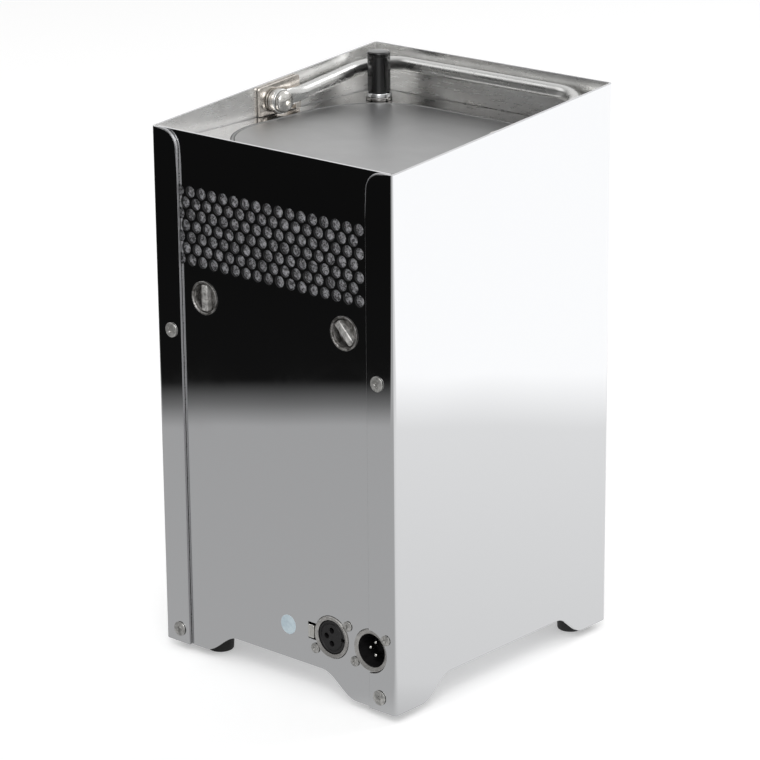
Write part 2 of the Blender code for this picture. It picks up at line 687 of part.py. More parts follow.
def lock(side, name, angle):
    place = front(side * LOCK_OFFSET, PANEL_FRONT, LOCK_HEIGHT) @ FACING_FRONT
    rim_top = GAP + LOCK_RIM
    wall = LOCK_WALL
    bore = LOCK_STEM_RADIUS + SLIDE_GAP
    cup = [(LOCK_RIM_RADIUS, rim_top), (LOCK_RIM_RADIUS, GAP), (LOCK_BODY_RADIUS, GAP),
           (LOCK_BODY_RADIUS, -LOCK_DEPTH), (bore, -LOCK_DEPTH), (bore, LOCK_FLOOR - LOCK_DEPTH),
           (LOCK_DISC_RADIUS + SLIDE_GAP, LOCK_FLOOR - LOCK_DEPTH), (LOCK_BODY_RADIUS - wall, rim_top - wall),
           (LOCK_BODY_RADIUS - wall / 2, rim_top)]
    turned("lock_cup_" + name, cup, place, POLISHED, 16)

    disc_low = LOCK_FLOOR - LOCK_DEPTH + GAP
    disc_top = disc_low + LOCK_DISC
    stem_end = LOCK_STEM_END
    edge = LOCK_DISC / 3
    stem_low = stem_end - LOCK_CAM / 2
    rotor = [(0, disc_top), (LOCK_DISC_RADIUS - edge, disc_top), (LOCK_DISC_RADIUS, disc_top - edge),
             (LOCK_DISC_RADIUS, disc_low), (LOCK_STEM_RADIUS, disc_low), (LOCK_STEM_RADIUS, stem_low),
             (0, stem_low)]
    turn = place @ Matrix.Rotation(radians(angle), 4, "Z")
    knob = as_mesh(turned("lock_rotor_" + name, rotor, turn, sides=16), POLISHED)
    bar_length = LOCK_DISC_RADIUS - edge
    bar = block("lock_bar", (-bar_length, -LOCK_BAR_WIDTH / 2, disc_top - LOCK_DISC / 2),
                (bar_length, LOCK_BAR_WIDTH / 2, rim_top - GAP))
    bar.matrix_world = turn @ bar.matrix_world
    cut(knob, bar, "UNION")

    cam = block("lock_cam", (-LOCK_CAM_LENGTH / 2, -LOCK_CAM_WIDTH / 2, stem_end - LOCK_CAM),
                (LOCK_CAM_LENGTH / 2, LOCK_CAM_WIDTH / 2, stem_end))
    cam.matrix_world = turn @ cam.matrix_world
    cut(knob, cam, "UNION")
    smooth(knob)


def inner_shelf():
    """Folded shelf under the heat sink, whose apron takes the two locks."""
    front_y = Y_FRONT + PANEL_FRONT + LOCK_DEPTH + GAP
    half = INNER_X - SINK_SIDE
    path = [(SHELF_TOP, -SINK_BACK_Y), (SHELF_TOP, -front_y), (SHELF_TOP - SHELF_APRON, -front_y)]
    shelf = folded("inner_shelf", path, -half, half, SHELF_SHEET, ZINC, 0.0, FOLD_ACROSS)
    for side in (-1, 1):
        hole = rod("lock_hole", LOCK_STEM_RADIUS + SLIDE_GAP, 4 * SHELF_SHEET,
                   front(side * LOCK_OFFSET, PANEL_FRONT + LOCK_DEPTH + 3 * SHELF_SHEET, LOCK_HEIGHT)
                   @ FACING_FRONT, sides=16)
        cut(shelf, hole)


# Round sockets

def socket_screw_spots():
    """Where the sockets' screws are: x, height, and depth of the sheet face under their heads."""
    spots = []
    for x in (FEMALE_X, MALE_X):
        for side in (-1, 1):
            spot_x = x + side * SOCKET_SCREW_X
            spot_z = SOCKET_HEIGHT + side * SOCKET_SCREW_Z
            spots.append((spot_x, spot_z, 0 if spot_x > FLANGE_EDGE else PANEL_FRONT))
    return spots


def pin_places(place):
    spots = ((0, PIN_CIRCLE), (0, -PIN_CIRCLE), (-PIN_CIRCLE, 0))
    return [place @ at(x, z, 0) for x, z in spots]


def socket(name, x, bore, cavity, notched):
    """Barrel through the panel, on a flange behind it. Local +Z looks out of the front."""
    place = front(x, PANEL_FRONT, SOCKET_HEIGHT) @ FACING_FRONT
    face = BARREL_PROUD
    lip = (BARREL_RADIUS - bore) / 4
    profile = [(0, face - cavity), (bore, face - cavity), (bore, face - lip), (bore + lip, face),
               (BARREL_RADIUS - lip, face), (BARREL_RADIUS, face - lip), (BARREL_RADIUS, -BARREL_DEPTH),
               (0, -BARREL_DEPTH)]
    body = as_mesh(turned(name, profile, place, sides=20), DARK_METAL)
    back = -PANEL_SHEET - GAP
    low = (-SOCKET_FLANGE_HALF_X, -SOCKET_FLANGE_HALF_Z, back - SOCKET_FLANGE)
    high = (SOCKET_FLANGE_HALF_X, SOCKET_FLANGE_HALF_Z, back)
    plate = block(name + "_flange", low, high)
    plate.matrix_world = place @ plate.matrix_world
    hollow = rod(name + "_hollow", (bore + BARREL_RADIUS) / 2, 3 * SOCKET_FLANGE,
                 place @ at(0, 0, back - 2 * SOCKET_FLANGE), sides=20)
    cut(plate, hollow)
    cut(body, plate, "UNION")
    for side in (-1, 1):
        spot = place @ at(side * SOCKET_SCREW_X, side * SOCKET_SCREW_Z, back - 2 * SOCKET_FLANGE)
        cut(body, rod(name + "_fixing", SOCKET_SCREW_RADIUS + GAP, 3 * SOCKET_FLANGE, spot, sides=10))
    if notched:
        notch = LATCH_HALF_HEIGHT + SLIDE_GAP
        slot = block(name + "_slot", (-LATCH_REACH - SLIDE_GAP, -notch, back - 2 * SOCKET_FLANGE),
                     (-BARREL_RADIUS - SLIDE_GAP / 4, notch, back + SOCKET_FLANGE))
        slot.matrix_world = place @ slot.matrix_world
        cut(body, slot)
    smooth(body)
    return place


def female_socket():
    place = socket("socket_female", FEMALE_X, FEMALE_BORE, CONTACT_DEPTH + INSERT_BACK, True)
    insert_top = BARREL_PROUD - INSERT_SINK
    radius = FEMALE_BORE - GAP
    length = CONTACT_DEPTH + INSERT_BACK - INSERT_SINK - GAP
    body = rod("female_insert", radius, length, place @ at(0, 0, insert_top - length), BLACK_PLASTIC, 20)
    hole = rod("contact_hole", CONTACT_HOLE_RADIUS, CONTACT_DEPTH, Matrix(), sides=10)
    spots = [spot @ at(0, 0, insert_top - CONTACT_DEPTH + PIN_RADIUS) for spot in pin_places(place)]
    cut(body, gathered("contact_holes", hole, spots))
    tab_low = BARREL_RADIUS + SLIDE_GAP
    latch = block("socket_latch", (-LATCH_REACH, -LATCH_HALF_HEIGHT, LATCH_PROUD - LATCH_LENGTH),
                  (-tab_low, LATCH_HALF_HEIGHT, LATCH_PROUD), DARK_METAL)
    latch.matrix_world = place @ latch.matrix_world


def male_socket():
    place = socket("socket_male", MALE_X, MALE_BORE, MALE_CAVITY, False)
    tip = BARREL_PROUD - PIN_TIP_DEPTH
    floor = BARREL_PROUD - MALE_CAVITY + GAP
    base = rod("male_insert", MALE_BORE - GAP, INSERT_BACK, place @ at(0, 0, floor), BLACK_PLASTIC, 16)
    low = floor + INSERT_BACK / 2
    outline = [(0, tip), (PIN_RADIUS / 2, tip), (PIN_RADIUS, tip - PIN_RADIUS), (PIN_RADIUS, low), (0, low)]
    pin = turned("male_pin", outline, Matrix(), sides=10)
    cut(base, gathered("male_pins", pin, pin_places(place)), "UNION")


def socket_screws():
    head = SOCKET_SCREW_HEAD_HEIGHT
    shank = PANEL_BACK + GAP + SOCKET_FLANGE + SOCKET_SCREW_PAST
    radius = SOCKET_SCREW_HEAD
    profile = [(0, head), (radius * 0.6, head), (radius, head * 0.4), (radius, 0),
               (SOCKET_SCREW_RADIUS, 0), (SOCKET_SCREW_RADIUS, -shank), (0, -shank)]
    places = [front(x, depth - GAP, z) @ FACING_FRONT for x, z, depth in socket_screw_spots()]
    names = ("female_low", "female_high", "male_low", "male_high")
    for name, place in zip(names, places):
        turned("socket_screw_" + name, profile, place, ZINC, 10)


# Tray, window and handle

def window_corner():
    """The corner radius that leaves the antenna's socket clear of the clamp frame."""
    across = WINDOW_HALF_X + ANTENNA_AT.x
    along = WINDOW_HALF_Y - (ANTENNA_AT.y - MIDDLE_Y)
    need = ANTENNA_FLANGE_RADIUS + CLAMP_OVERLAP + ANTENNA_TO_CLAMP
    half_sum = across + along + need
    return half_sum + sqrt(half_sum ** 2 - across ** 2 - along ** 2 + need ** 2)


def window_loop(inset, steps=5):
    half_x, half_y = WINDOW_HALF_X - inset, WINDOW_HALF_Y - inset
    return rounded(-half_x, half_x, MIDDLE_Y - half_y, MIDDLE_Y + half_y, window_corner() - inset, steps)


def tray():
    half = INNER_X - GAP
    path = [(-half, TRAY_Z - TRAY_LIP), (-half, TRAY_Z), (half, TRAY_Z), (half, TRAY_Z - TRAY_LIP)]
    path.reverse()
    low, high = Y_FRONT + PANEL_BACK + GAP, REAR_EDGE
    floor = folded("tray_floor", path, -high, -low, TRAY_SHEET, POLISHED, 0.0, FACING_FRONT)
    below = TRAY_Z - 3 * TRAY_SHEET
    cut(floor, as_mesh(flat("window_cutter", [window_loop(0)], 6 * TRAY_SHEET, at(0, 0, below))))
    cut(floor, rod("antenna_hole", ANTENNA_STEM_RADIUS + GAP, 6 * TRAY_SHEET,
                   at(ANTENNA_AT.x, ANTENNA_AT.y, below), sides=16))


def window():
    outer = GAP
    inner = GAP + GASKET_WIDTH
    place = at(0, 0, GLASS_LOW)
    flat("window_gasket", [window_loop(outer), window_loop(inner)], GLASS_THICKNESS, place, RUBBER)
    flat("window_glass", [window_loop(inner + GAP)], GLASS_THICKNESS, place, GLASS)
    flat("window_clamp", [window_loop(-CLAMP_OVERLAP), window_loop(inner + GAP + CLAMP_OVERLAP)], CLAMP_SHEET,
         at(0, 0, CLAMP_LOW), ZINC)


def bracket(side, name):
    """Plate inside a side wall, with a lug that the arm rests on."""
    low_y, high_y = PIVOT_DEPTH - BRACKET_FRONT, PIVOT_DEPTH + BRACKET_BACK
    floor = TRAY_HEIGHT + GAP
    outline = [(low_y, floor), (high_y, floor), (high_y, rim_height(high_y) - BRACKET_BELOW_RIM),
               (low_y, rim_height(low_y) - BRACKET_BELOW_RIM)]
    hole = circle(BOLT_RADIUS + GAP, PIVOT_DEPTH, TRAY_HEIGHT + PIVOT_RISE, 16)
    outer = INNER_X - GAP
    start = -outer if side < 0 else outer - BRACKET_SHEET
    place = at(start, Y_FRONT, FOOT_DROP) @ SIDE_ON
    plate = as_mesh(flat("handle_bracket_" + name, [outline, hole], BRACKET_SHEET, place), POLISHED)
    slope = radians(HANDLE_SLOPE)
    along = EYE_RADIUS + STOP_SIZE * 2
    under = PIVOT.z + along * sin(slope) - (HANDLE_ROD / 2 + GAP) / cos(slope)
    y = PIVOT.y + along
    reach = side * (BRACKET_FACE - STOP_SIZE)
    root = side * (BRACKET_FACE + BRACKET_SHEET / 2)
    lug = block("stop_lug", (min(reach, root), y - STOP_SIZE / 2, under - STOP_SIZE),
                (max(reach, root), y + STOP_SIZE / 2, under - STOP_SIZE / 2 * sin(slope)))
    cut(plate, lug, "UNION")


def handle_hardware():
    washer = [(WASHER_RADIUS, WASHER_THICKNESS), (WASHER_RADIUS, 0), (BOLT_RADIUS + GAP, 0),
              (BOLT_RADIUS + GAP, WASHER_THICKNESS)]
    head = EYE_OUTER - EYE_THICKNESS - GAP
    tip = INNER_X - 2 * GAP
    bolt = [(0, head - BOLT_HEAD), (BOLT_HEAD_RADIUS * 0.6, head - BOLT_HEAD),
            (BOLT_HEAD_RADIUS, head - BOLT_HEAD / 2), (BOLT_HEAD_RADIUS, head), (BOLT_RADIUS, head),
            (BOLT_RADIUS, tip), (0, tip)]
    bolt.reverse()
    for name, facing in (("left", FACING_LEFT), ("right", FACING_RIGHT)):
        place = Matrix.Translation(PIVOT) @ facing
        seat = place @ at(0, 0, BRACKET_FACE - GAP - WASHER_THICKNESS)
        turned("handle_washer_" + name, washer, seat, ZINC, 16)
        turned("handle_bolt_" + name, bolt, place, POLISHED, 16)


def handle():
    """Bent rod with flattened eyes; its origin is the pivot axis, and local +Y runs along the arms."""
    bend = HANDLE_BEND
    arc = [(ARM_X - bend + bend * cos(pi / 2 * k / 6), HANDLE_REACH - bend + bend * sin(pi / 2 * k / 6), 0)
           for k in range(7)]
    rod_start = BOLT_HEAD_RADIUS + 2 * SLIDE_GAP
    right = [(ARM_X, rod_start, 0), *arc]
    left = [(-x, y, z) for x, y, z in reversed(right)]
    half_tongue = TONGUE_SHARE * HANDLE_ROD / 2
    place = Matrix.Translation(PIVOT) @ Matrix.Rotation(radians(HANDLE_SLOPE), 4, "X")
    bar = as_mesh(tube("carry_handle", right + left, HANDLE_ROD / 2, None, place, 3), POLISHED)
    for side in (-1, 1):
        start = EYE_OUTER - EYE_THICKNESS if side > 0 else -EYE_OUTER
        eye = rod("eye", EYE_RADIUS, EYE_THICKNESS, place @ at(start, 0, 0) @ FACING_RIGHT, sides=16)
        cut(bar, eye, "UNION")
        tongue = block("tongue", (start, 0, -half_tongue),
                       (start + EYE_THICKNESS, rod_start + HANDLE_ROD, half_tongue))
        tongue.matrix_world = place @ tongue.matrix_world
        cut(bar, tongue, "UNION")
        bore = rod("eye_bore", BOLT_RADIUS + SLIDE_GAP, EYE_THICKNESS * 3,
                   place @ at(start - EYE_THICKNESS, 0, 0) @ FACING_RIGHT, sides=16)
        cut(bar, bore)
    smooth(bar)


def antenna():
    place = Matrix.Translation(ANTENNA_AT)
    nut_top = GAP + ANTENNA_NUT
    foot = nut_top + GAP
    top = foot + ANTENNA_HEIGHT - 2 * GAP
    stem_top = foot + ANTENNA_HEIGHT / 3
    hollow = ANTENNA_STEM_RADIUS + GAP
    chamfer = ANTENNA_CHAMFER
    turned("antenna_body", [(0, top), (ANTENNA_RADIUS - chamfer, top), (ANTENNA_RADIUS, top - chamfer),
                            (ANTENNA_RADIUS, foot), (hollow, foot), (hollow, stem_top + GAP),
                            (0, stem_top + GAP)], place, BLACK_PLASTIC, 20)
    turned("antenna_nut", [(ANTENNA_NUT_RADIUS - chamfer, nut_top), (ANTENNA_NUT_RADIUS, nut_top - chamfer),
                           (ANTENNA_NUT_RADIUS, GAP), (hollow, GAP), (hollow, nut_top)], place, POLISHED, 20)
    under = -TRAY_SHEET - GAP
    low = -TRAY_SHEET - ANTENNA_STEM_BELOW
    turned("antenna_socket", [(0, stem_top), (ANTENNA_STEM_RADIUS, stem_top), (ANTENNA_STEM_RADIUS, under),
                              (ANTENNA_FLANGE_RADIUS, under), (ANTENNA_FLANGE_RADIUS, low), (0, low)],
           place, BRASS, 16)


# Light engine

def lens_spots(height):
    middle = (LED_ROWS - 1) / 2
    return [at((column - middle) * LENS_PITCH, MIDDLE_Y + (row - middle) * LENS_PITCH, height)
            for row in range(LED_ROWS) for column in range(LED_ROWS)]


def light_engine():
    half = INNER_X - SINK_SIDE
    count = SINK_FINS - 1
    gap = (2 * half - SINK_FINS * SINK_FIN) / count
    start = Y_FRONT + PANEL_BACK + SINK_FRONT
    sink = block("heat_sink", (-half, start, SINK_LOW), (half, SINK_BACK_Y, SINK_TOP), ALUMINIUM)
    slot_low, slot_high = SINK_LOW - CUT_MARGIN, SINK_TOP - SINK_BASE
    slot_reach = (SINK_BACK_Y - start) / 2 + CUT_MARGIN
    slot_rise = (slot_high - slot_low) / 2
    slot = block("fin_slot", (-gap / 2, -slot_reach, -slot_rise), (gap / 2, slot_reach, slot_rise))
    first = SINK_FIN + gap / 2 - half
    middle = ((start + SINK_BACK_Y) / 2, (slot_low + slot_high) / 2)
    cut(sink, gathered("fin_slots", slot, [at(first + k * (SINK_FIN + gap), *middle) for k in range(count)]))
    low = SINK_TOP - SINK_BASE / 2
    post = rod("tray_post", POST_RADIUS, TRAY_Z - TRAY_SHEET - GAP - low, Matrix(), sides=12)
    posts = [at(side * (INNER_X - POST_INSET), y, low) for side in (-1, 1)
             for y in (start + POST_INSET, SINK_BACK_Y - POST_RADIUS - GAP)]
    cut(sink, gathered("tray_posts", post, posts), "UNION")

    reach = (LED_ROWS - 1) / 2 * LENS_PITCH + LENS_RADIUS
    board = block("led_board", (-reach, MIDDLE_Y - reach, LED_BOARD_LOW),
                  (reach, MIDDLE_Y + reach, LED_BOARD_TOP), BOARD_WHITE)
    half_led = LED_SIZE / 2
    led = block("led", (-half_led, -half_led, -LED_HEIGHT), (half_led, half_led, LED_HEIGHT))
    cut(board, gathered("leds", led, lens_spots(LED_BOARD_TOP)), "UNION")

    plate = block("lens_array", (-reach, MIDDLE_Y - reach, LENS_TOP - LENS_PLATE),
                  (reach, MIDDLE_Y + reach, LENS_TOP), LENS_CLEAR)
    lens = turned("lens", [(0, LENS_HEIGHT - LENS_PLATE / 2), (LENS_RADIUS, LENS_HEIGHT - LENS_PLATE / 2),
                           (LENS_FOOT_RADIUS, 0), (0, 0)], Matrix(), sides=12)
    cut(plate, gathered("lenses", lens, lens_spots(LENS_LOW)), "UNION")


# Bottom plate, feet and controls

def foot_spots():
    return {
        "front_left": (FRONT_FOOT_X - WIDTH / 2, Y_FRONT + FRONT_FOOT_Y),
        "front_right": (WIDTH / 2 - FRONT_FOOT_X, Y_FRONT + FRONT_FOOT_Y),
        "rear_left": (REAR_FOOT_X - WIDTH / 2, Y_BACK - REAR_FOOT_Y),
        "rear_right": (WIDTH / 2 - REAR_FOOT_X, Y_BACK - REAR_FOOT_Y),
    }


def button_spots():
    return [((k - 1.5) * BUTTON_PITCH, CONTROL_Y - BUTTON_ROW) for k in range(4)]


def bottom_plate():
    half = INNER_X - GAP
    lip = PLATE_Z + PLATE_LIP
    path = [(-half, lip), (-half, PLATE_Z), (half, PLATE_Z), (half, lip)]
    low, high = Y_FRONT + PANEL_BACK + GAP, REAR_EDGE
    plate = folded("bottom_plate", path, -high, -low, PLATE_SHEET, ZINC, 0.0, FACING_FRONT)
    below = PLATE_Z - 2 * PLATE_SHEET
    deep = 5 * PLATE_SHEET
    nuts = [at(x, y, PLATE_TOP - PLATE_SHEET / 3) for x, y in foot_spots().values()]
    nut = rod("foot_nut", NUT_RADIUS, NUT_HEIGHT, Matrix(), sides=6)
    cut(plate, gathered("foot_nuts", nut, nuts), "UNION")
    studs = [at(x, y, below) for x, y in foot_spots().values()]
    hole = rod("stud_hole", STUD_RADIUS + GAP, deep + NUT_HEIGHT, Matrix(), sides=12)
    cut(plate, gathered("stud_holes", hole, studs))
    keys = [at(x, y, below) for x, y in button_spots()]
    key_hole = rod("button_hole", BUTTON_RADIUS + SLIDE_GAP, deep, Matrix(), sides=16)
    cut(plate, gathered("button_holes", key_hole, keys))
    cut(plate, block("display_opening", (-DISPLAY_X / 2, CONTROL_Y - DISPLAY_Y / 2, below),
                     (DISPLAY_X / 2, CONTROL_Y + DISPLAY_Y / 2, below + deep)))
    half_x, half_y = ROCKER_WIDTH / 2 + ROCKER_WALL + GAP, ROCKER_LENGTH / 2 + ROCKER_WALL + GAP
    cut(plate, block("rocker_opening", (ROCKER_X - half_x, ROCKER_Y - half_y, below),
                     (ROCKER_X + half_x, ROCKER_Y + half_y, below + deep)))
    cut(plate, rod("charge_opening", CHARGE_RADIUS + GAP, deep, at(CHARGE_X, ROCKER_Y, below), sides=20))


def feet():
    """Rubber feet, each moulded round a stud that screws into the plate's nut."""
    top = PLATE_Z - GAP
    stud_top = PLATE_TOP + STUD_ABOVE
    profile = [(0, stud_top), (STUD_RADIUS, stud_top), (STUD_RADIUS, top), (FOOT_RADIUS, top),
               (FOOT_RADIUS - FOOT_TAPER, 0), (0, 0)]
    for name, (x, y) in foot_spots().items():
        turned("foot_" + name, profile, at(x, y, 0), RUBBER, 16)


def controls():
    y = CONTROL_Y
    border = DISPLAY_BORDER
    low = PLATE_TOP + GAP
    block("display_window", (-DISPLAY_X / 2 - border, y - DISPLAY_Y / 2 - border, low),
          (DISPLAY_X / 2 + border, y + DISPLAY_Y / 2 + border, low + DISPLAY_THICKNESS), BLACK_PLASTIC)
    board_low = PLATE_TOP + CONTROL_BOARD_LIFT
    half_x = DISPLAY_X / 2 + 3 * border + BUTTON_RADIUS
    board = block("control_board", (-half_x, y - BUTTON_ROW - BUTTON_RADIUS - 2 * border, board_low),
                  (half_x, y + DISPLAY_Y / 2 + border, board_low + BOARD), BOARD_GREEN)
    half = SWITCH_SIZE / 2
    switch = block("key_switch", (-half, -half, -SWITCH_HEIGHT), (half, half, BOARD / 2))
    spots = [at(x, key_y, board_low - SWITCH_HEIGHT / 2 + BOARD / 4) for x, key_y in button_spots()]
    cut(board, gathered("key_switches", switch, spots), "UNION")
    switch_low = board_low - SWITCH_HEIGHT
    collar_low = PLATE_TOP + GAP
    tip = switch_low - BUTTON_TRAVEL - GAP
    collar = BUTTON_RADIUS + BUTTON_COLLAR_WIDTH
    stem = BUTTON_RADIUS / 2
    collar_top = collar_low + BUTTON_COLLAR
    face = PLATE_Z - BUTTON_PROUD
    profile = [(0, tip), (stem, tip), (stem, collar_top), (collar, collar_top), (collar, collar_low),
               (BUTTON_RADIUS, collar_low), (BUTTON_RADIUS, face), (0, face)]
    for k, (x, key_y) in enumerate(button_spots(), 1):
        turned("menu_button_%d" % k, profile, at(x, key_y, 0), RUBBER, 14)


def power_switch():
    """Rocker in its frame, pressed from below; at rest it is tipped one way."""
    centre = at(ROCKER_X, ROCKER_Y, PLATE_Z)
    half_x, half_y = ROCKER_WIDTH / 2, ROCKER_LENGTH / 2
    wall = ROCKER_WALL
    rim = -GAP - ROCKER_RIM
    body = block("rocker_frame", (-half_x - wall, -half_y - wall, rim),
                 (half_x + wall, half_y + wall, ROCKER_BODY), BLACK_PLASTIC)
    body.matrix_world = centre @ body.matrix_world
    edge = wall + ROCKER_RIM
    collar = block("rocker_rim", (-half_x - edge, -half_y - edge, rim), (half_x + edge, half_y + edge, -GAP))
    collar.matrix_world = centre @ collar.matrix_world
    cut(body, collar, "UNION")
    pocket = block("rocker_pocket", (-half_x, -half_y, rim - wall), (half_x, half_y, ROCKER_BODY - wall))
    pocket.matrix_world = centre @ pocket.matrix_world
    cut(body, pocket)
    play = 2 * SLIDE_GAP
    tilt = Matrix.Rotation(radians(ROCKER_TILT), 4, "X")
    rocker = block("power_rocker", (-half_x + SLIDE_GAP, -half_y + play, rim - GAP),
                   (half_x - SLIDE_GAP, half_y - play, -rim), BLACK_PLASTIC)
    shift = rocker.matrix_world.copy()
    rocker.matrix_world = centre @ tilt @ shift

    tip, floor = -CHARGE_PIN_SINK, CHARGE_FLOOR - CHARGE_DEPTH
    charge = [(0, tip), (CHARGE_PIN, tip), (CHARGE_PIN, floor), (CHARGE_BORE, floor), (CHARGE_BORE, -rim),
              (CHARGE_RIM, -rim), (CHARGE_RIM, GAP), (CHARGE_RADIUS, GAP), (CHARGE_RADIUS, -CHARGE_DEPTH),
              (0, -CHARGE_DEPTH)]
    turned("charge_socket", charge, at(CHARGE_X, ROCKER_Y, PLATE_Z) @ FACING_DOWN, BLACK_PLASTIC, 16)


# Battery, electronics and leads

def battery():
    half_x, half_y = BATTERY_LENGTH / 2, BATTERY_WIDTH / 2
    middle = BATTERY_Y
    low = PLATE_TOP + BATTERY_LIFT
    top = low + BATTERY_HEIGHT
    pack = block("battery_pack", (-half_x, middle - half_y, low), (half_x, middle + half_y, top),
                 BATTERY_BLUE)
    bevel = pack.modifiers.new("edges", "BEVEL")
    bevel.width = BATTERY_EDGE
    bevel.segments = 2
    deck = low - GAP
    wide = half_x + CRADLE_MARGIN
    floor = PLATE_TOP + GAP + CRADLE_SHEET
    hat = [(-wide - CRADLE_FOOT, floor), (-wide, floor), (-wide, deck), (wide, deck), (wide, floor),
           (wide + CRADLE_FOOT, floor)]
    hat.reverse()
    folded("battery_cradle", hat, -middle - half_y, -middle + half_y, CRADLE_SHEET, ZINC, 0.0, FACING_FRONT)

    inside = half_x + GAP + STRAP_THICKNESS
    over = top + GAP + STRAP_THICKNESS
    foot = deck + GAP + STRAP_THICKNESS
    loop = [(-inside - STRAP_FOOT, foot), (-inside, foot), (-inside, over), (inside, over), (inside, foot),
            (inside + STRAP_FOOT, foot)]
    loop.reverse()
    folded("battery_strap", loop, -middle - STRAP_WIDTH / 2, -middle + STRAP_WIDTH / 2, STRAP_THICKNESS,
           ZINC, 0.0, FACING_FRONT)


def electronics():
    half = DRIVER_X / 2
    low = FOOT_DROP + DRIVER_HEIGHT
    high = low + DRIVER_Z
    rear = Y_BACK - SHEET - DRIVER_FROM_BACK
    board = block("driver_board", (-half, rear - BOARD, low), (half, rear, high), BOARD_GREEN)
    inset = BOARD_POST_INSET
    spots = [at(side * (half - inset), Y_BACK - SHEET - GAP, z) @ FACING_FRONT
             for side in (-1, 1) for z in (low + inset, high - inset)]
    post = rod("board_post", BOARD_POST, DRIVER_FROM_BACK - GAP + BOARD / 2, Matrix(), sides=10)
    cut(board, gathered("board_posts", post, spots), "UNION")
    face = rear - BOARD - GAP
    radio_top = high - inset
    block("radio_module", (-half + inset, face - RADIO_THICKNESS, radio_top - RADIO_Z),
          (-half + inset + RADIO_X, face, radio_top), DARK_METAL)


def rounded_path(points, radius, steps=3):
    """The same route with its corners rounded."""
    path = [Vector(points[0])]
    for before, corner, after in zip(points, points[1:], points[2:]):
        corner = Vector(corner)
        come, go = Vector(before) - corner, Vector(after) - corner
        reach = min(radius, come.length / 2, go.length / 2)
        start, end = corner + come.normalized() * reach, corner + go.normalized() * reach
        for k in range(steps + 1):
            t = k / steps
            path.append(start * (1 - t) ** 2 + corner * 2 * t * (1 - t) + end * t ** 2)
    path.append(Vector(points[-1]))
    return path


def leads():
    r = LEAD_RADIUS
    rear_way = SINK_BACK_Y + SINK_REAR / 2
    half = DRIVER_X / 2
    board_top = FOOT_DROP + DRIVER_HEIGHT + DRIVER_Z
    board_rear = Y_BACK - SHEET - DRIVER_FROM_BACK
    board_face = board_rear - BOARD
    radio_x = -half + BOARD_POST_INSET + RADIO_X / 2
    radio_y = board_face - GAP - RADIO_THICKNESS / 2
    radio_top = board_top - BOARD_POST_INSET + GAP
    low = TRAY_Z - TRAY_SHEET - ANTENNA_STEM_BELOW - GAP
    over = SINK_TOP + 2 * r + GAP
    aerial = [(ANTENNA_AT.x, ANTENNA_AT.y, low), (ANTENNA_AT.x, ANTENNA_AT.y, over),
              (ANTENNA_AT.x, rear_way, over), (ANTENNA_AT.x, rear_way, board_top + LEAD_BEND),
              (radio_x, radio_y, board_top + LEAD_BEND), (radio_x, radio_y, radio_top)]
    tube("antenna_lead", rounded_path(aerial, LEAD_BEND), r, LEAD_BLACK, resolution=2)

    board_reach = (LED_ROWS - 1) / 2 * LENS_PITCH + LENS_RADIUS
    led_edge = MIDDLE_Y + board_reach + GAP
    feed_x = half - 3 * BOARD_POST_INSET
    driver_y = board_rear - BOARD / 2
    feed = [(feed_x, led_edge, over), (feed_x, rear_way, over), (feed_x, rear_way, board_top + LEAD_BEND),
            (feed_x, driver_y, board_top + LEAD_BEND), (feed_x, driver_y, board_top + GAP)]
    pack_rear = BATTERY_Y + BATTERY_WIDTH / 2 + GAP
    pack_z = PLATE_TOP + BATTERY_LIFT + BATTERY_HEIGHT - LEAD_BEND
    supply = [(0, pack_rear, pack_z), (0, board_face - GAP, pack_z)]
    socket_rear = Y_FRONT + PANEL_FRONT + BARREL_DEPTH + GAP
    side_x = (BATTERY_LENGTH / 2 + INNER_X) / 2
    low_z = FOOT_DROP + DRIVER_HEIGHT - GAP
    signal_x = half - BOARD_POST_INSET
    behind, loop_z = socket_rear + 2 * LEAD_BEND, low_z - 2 * LEAD_BEND
    signal = [(FEMALE_X, socket_rear, SOCKET_Z), (FEMALE_X, behind, SOCKET_Z), (side_x, behind, loop_z),
              (side_x, driver_y, loop_z), (signal_x, driver_y, loop_z), (signal_x, driver_y, low_z)]
    for name, route in (("led_lead", feed), ("battery_lead", supply), ("signal_lead", signal)):
        tube(name, rounded_path(route, LEAD_BEND), r, LEAD_BLACK, resolution=2)


def build():
    outer_shell()
    front_panel()
    flange_screws()
    lock(-1, "left", LOCK_LEFT_ANGLE)
    lock(1, "right", LOCK_RIGHT_ANGLE)
    inner_shelf()
    female_socket()
    male_socket()
    socket_screws()
    tray()
    window()
    bracket(-1, "left")
    bracket(1, "right")
    handle_hardware()
    handle()
    antenna()
    light_engine()
    bottom_plate()
    feet()
    controls()
    power_switch()
    battery()
    electronics()
    leads()


build()
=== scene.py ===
import json
from math import cos, pi, radians, sin

import bmesh
import bpy
from mathutils import Matrix, Vector


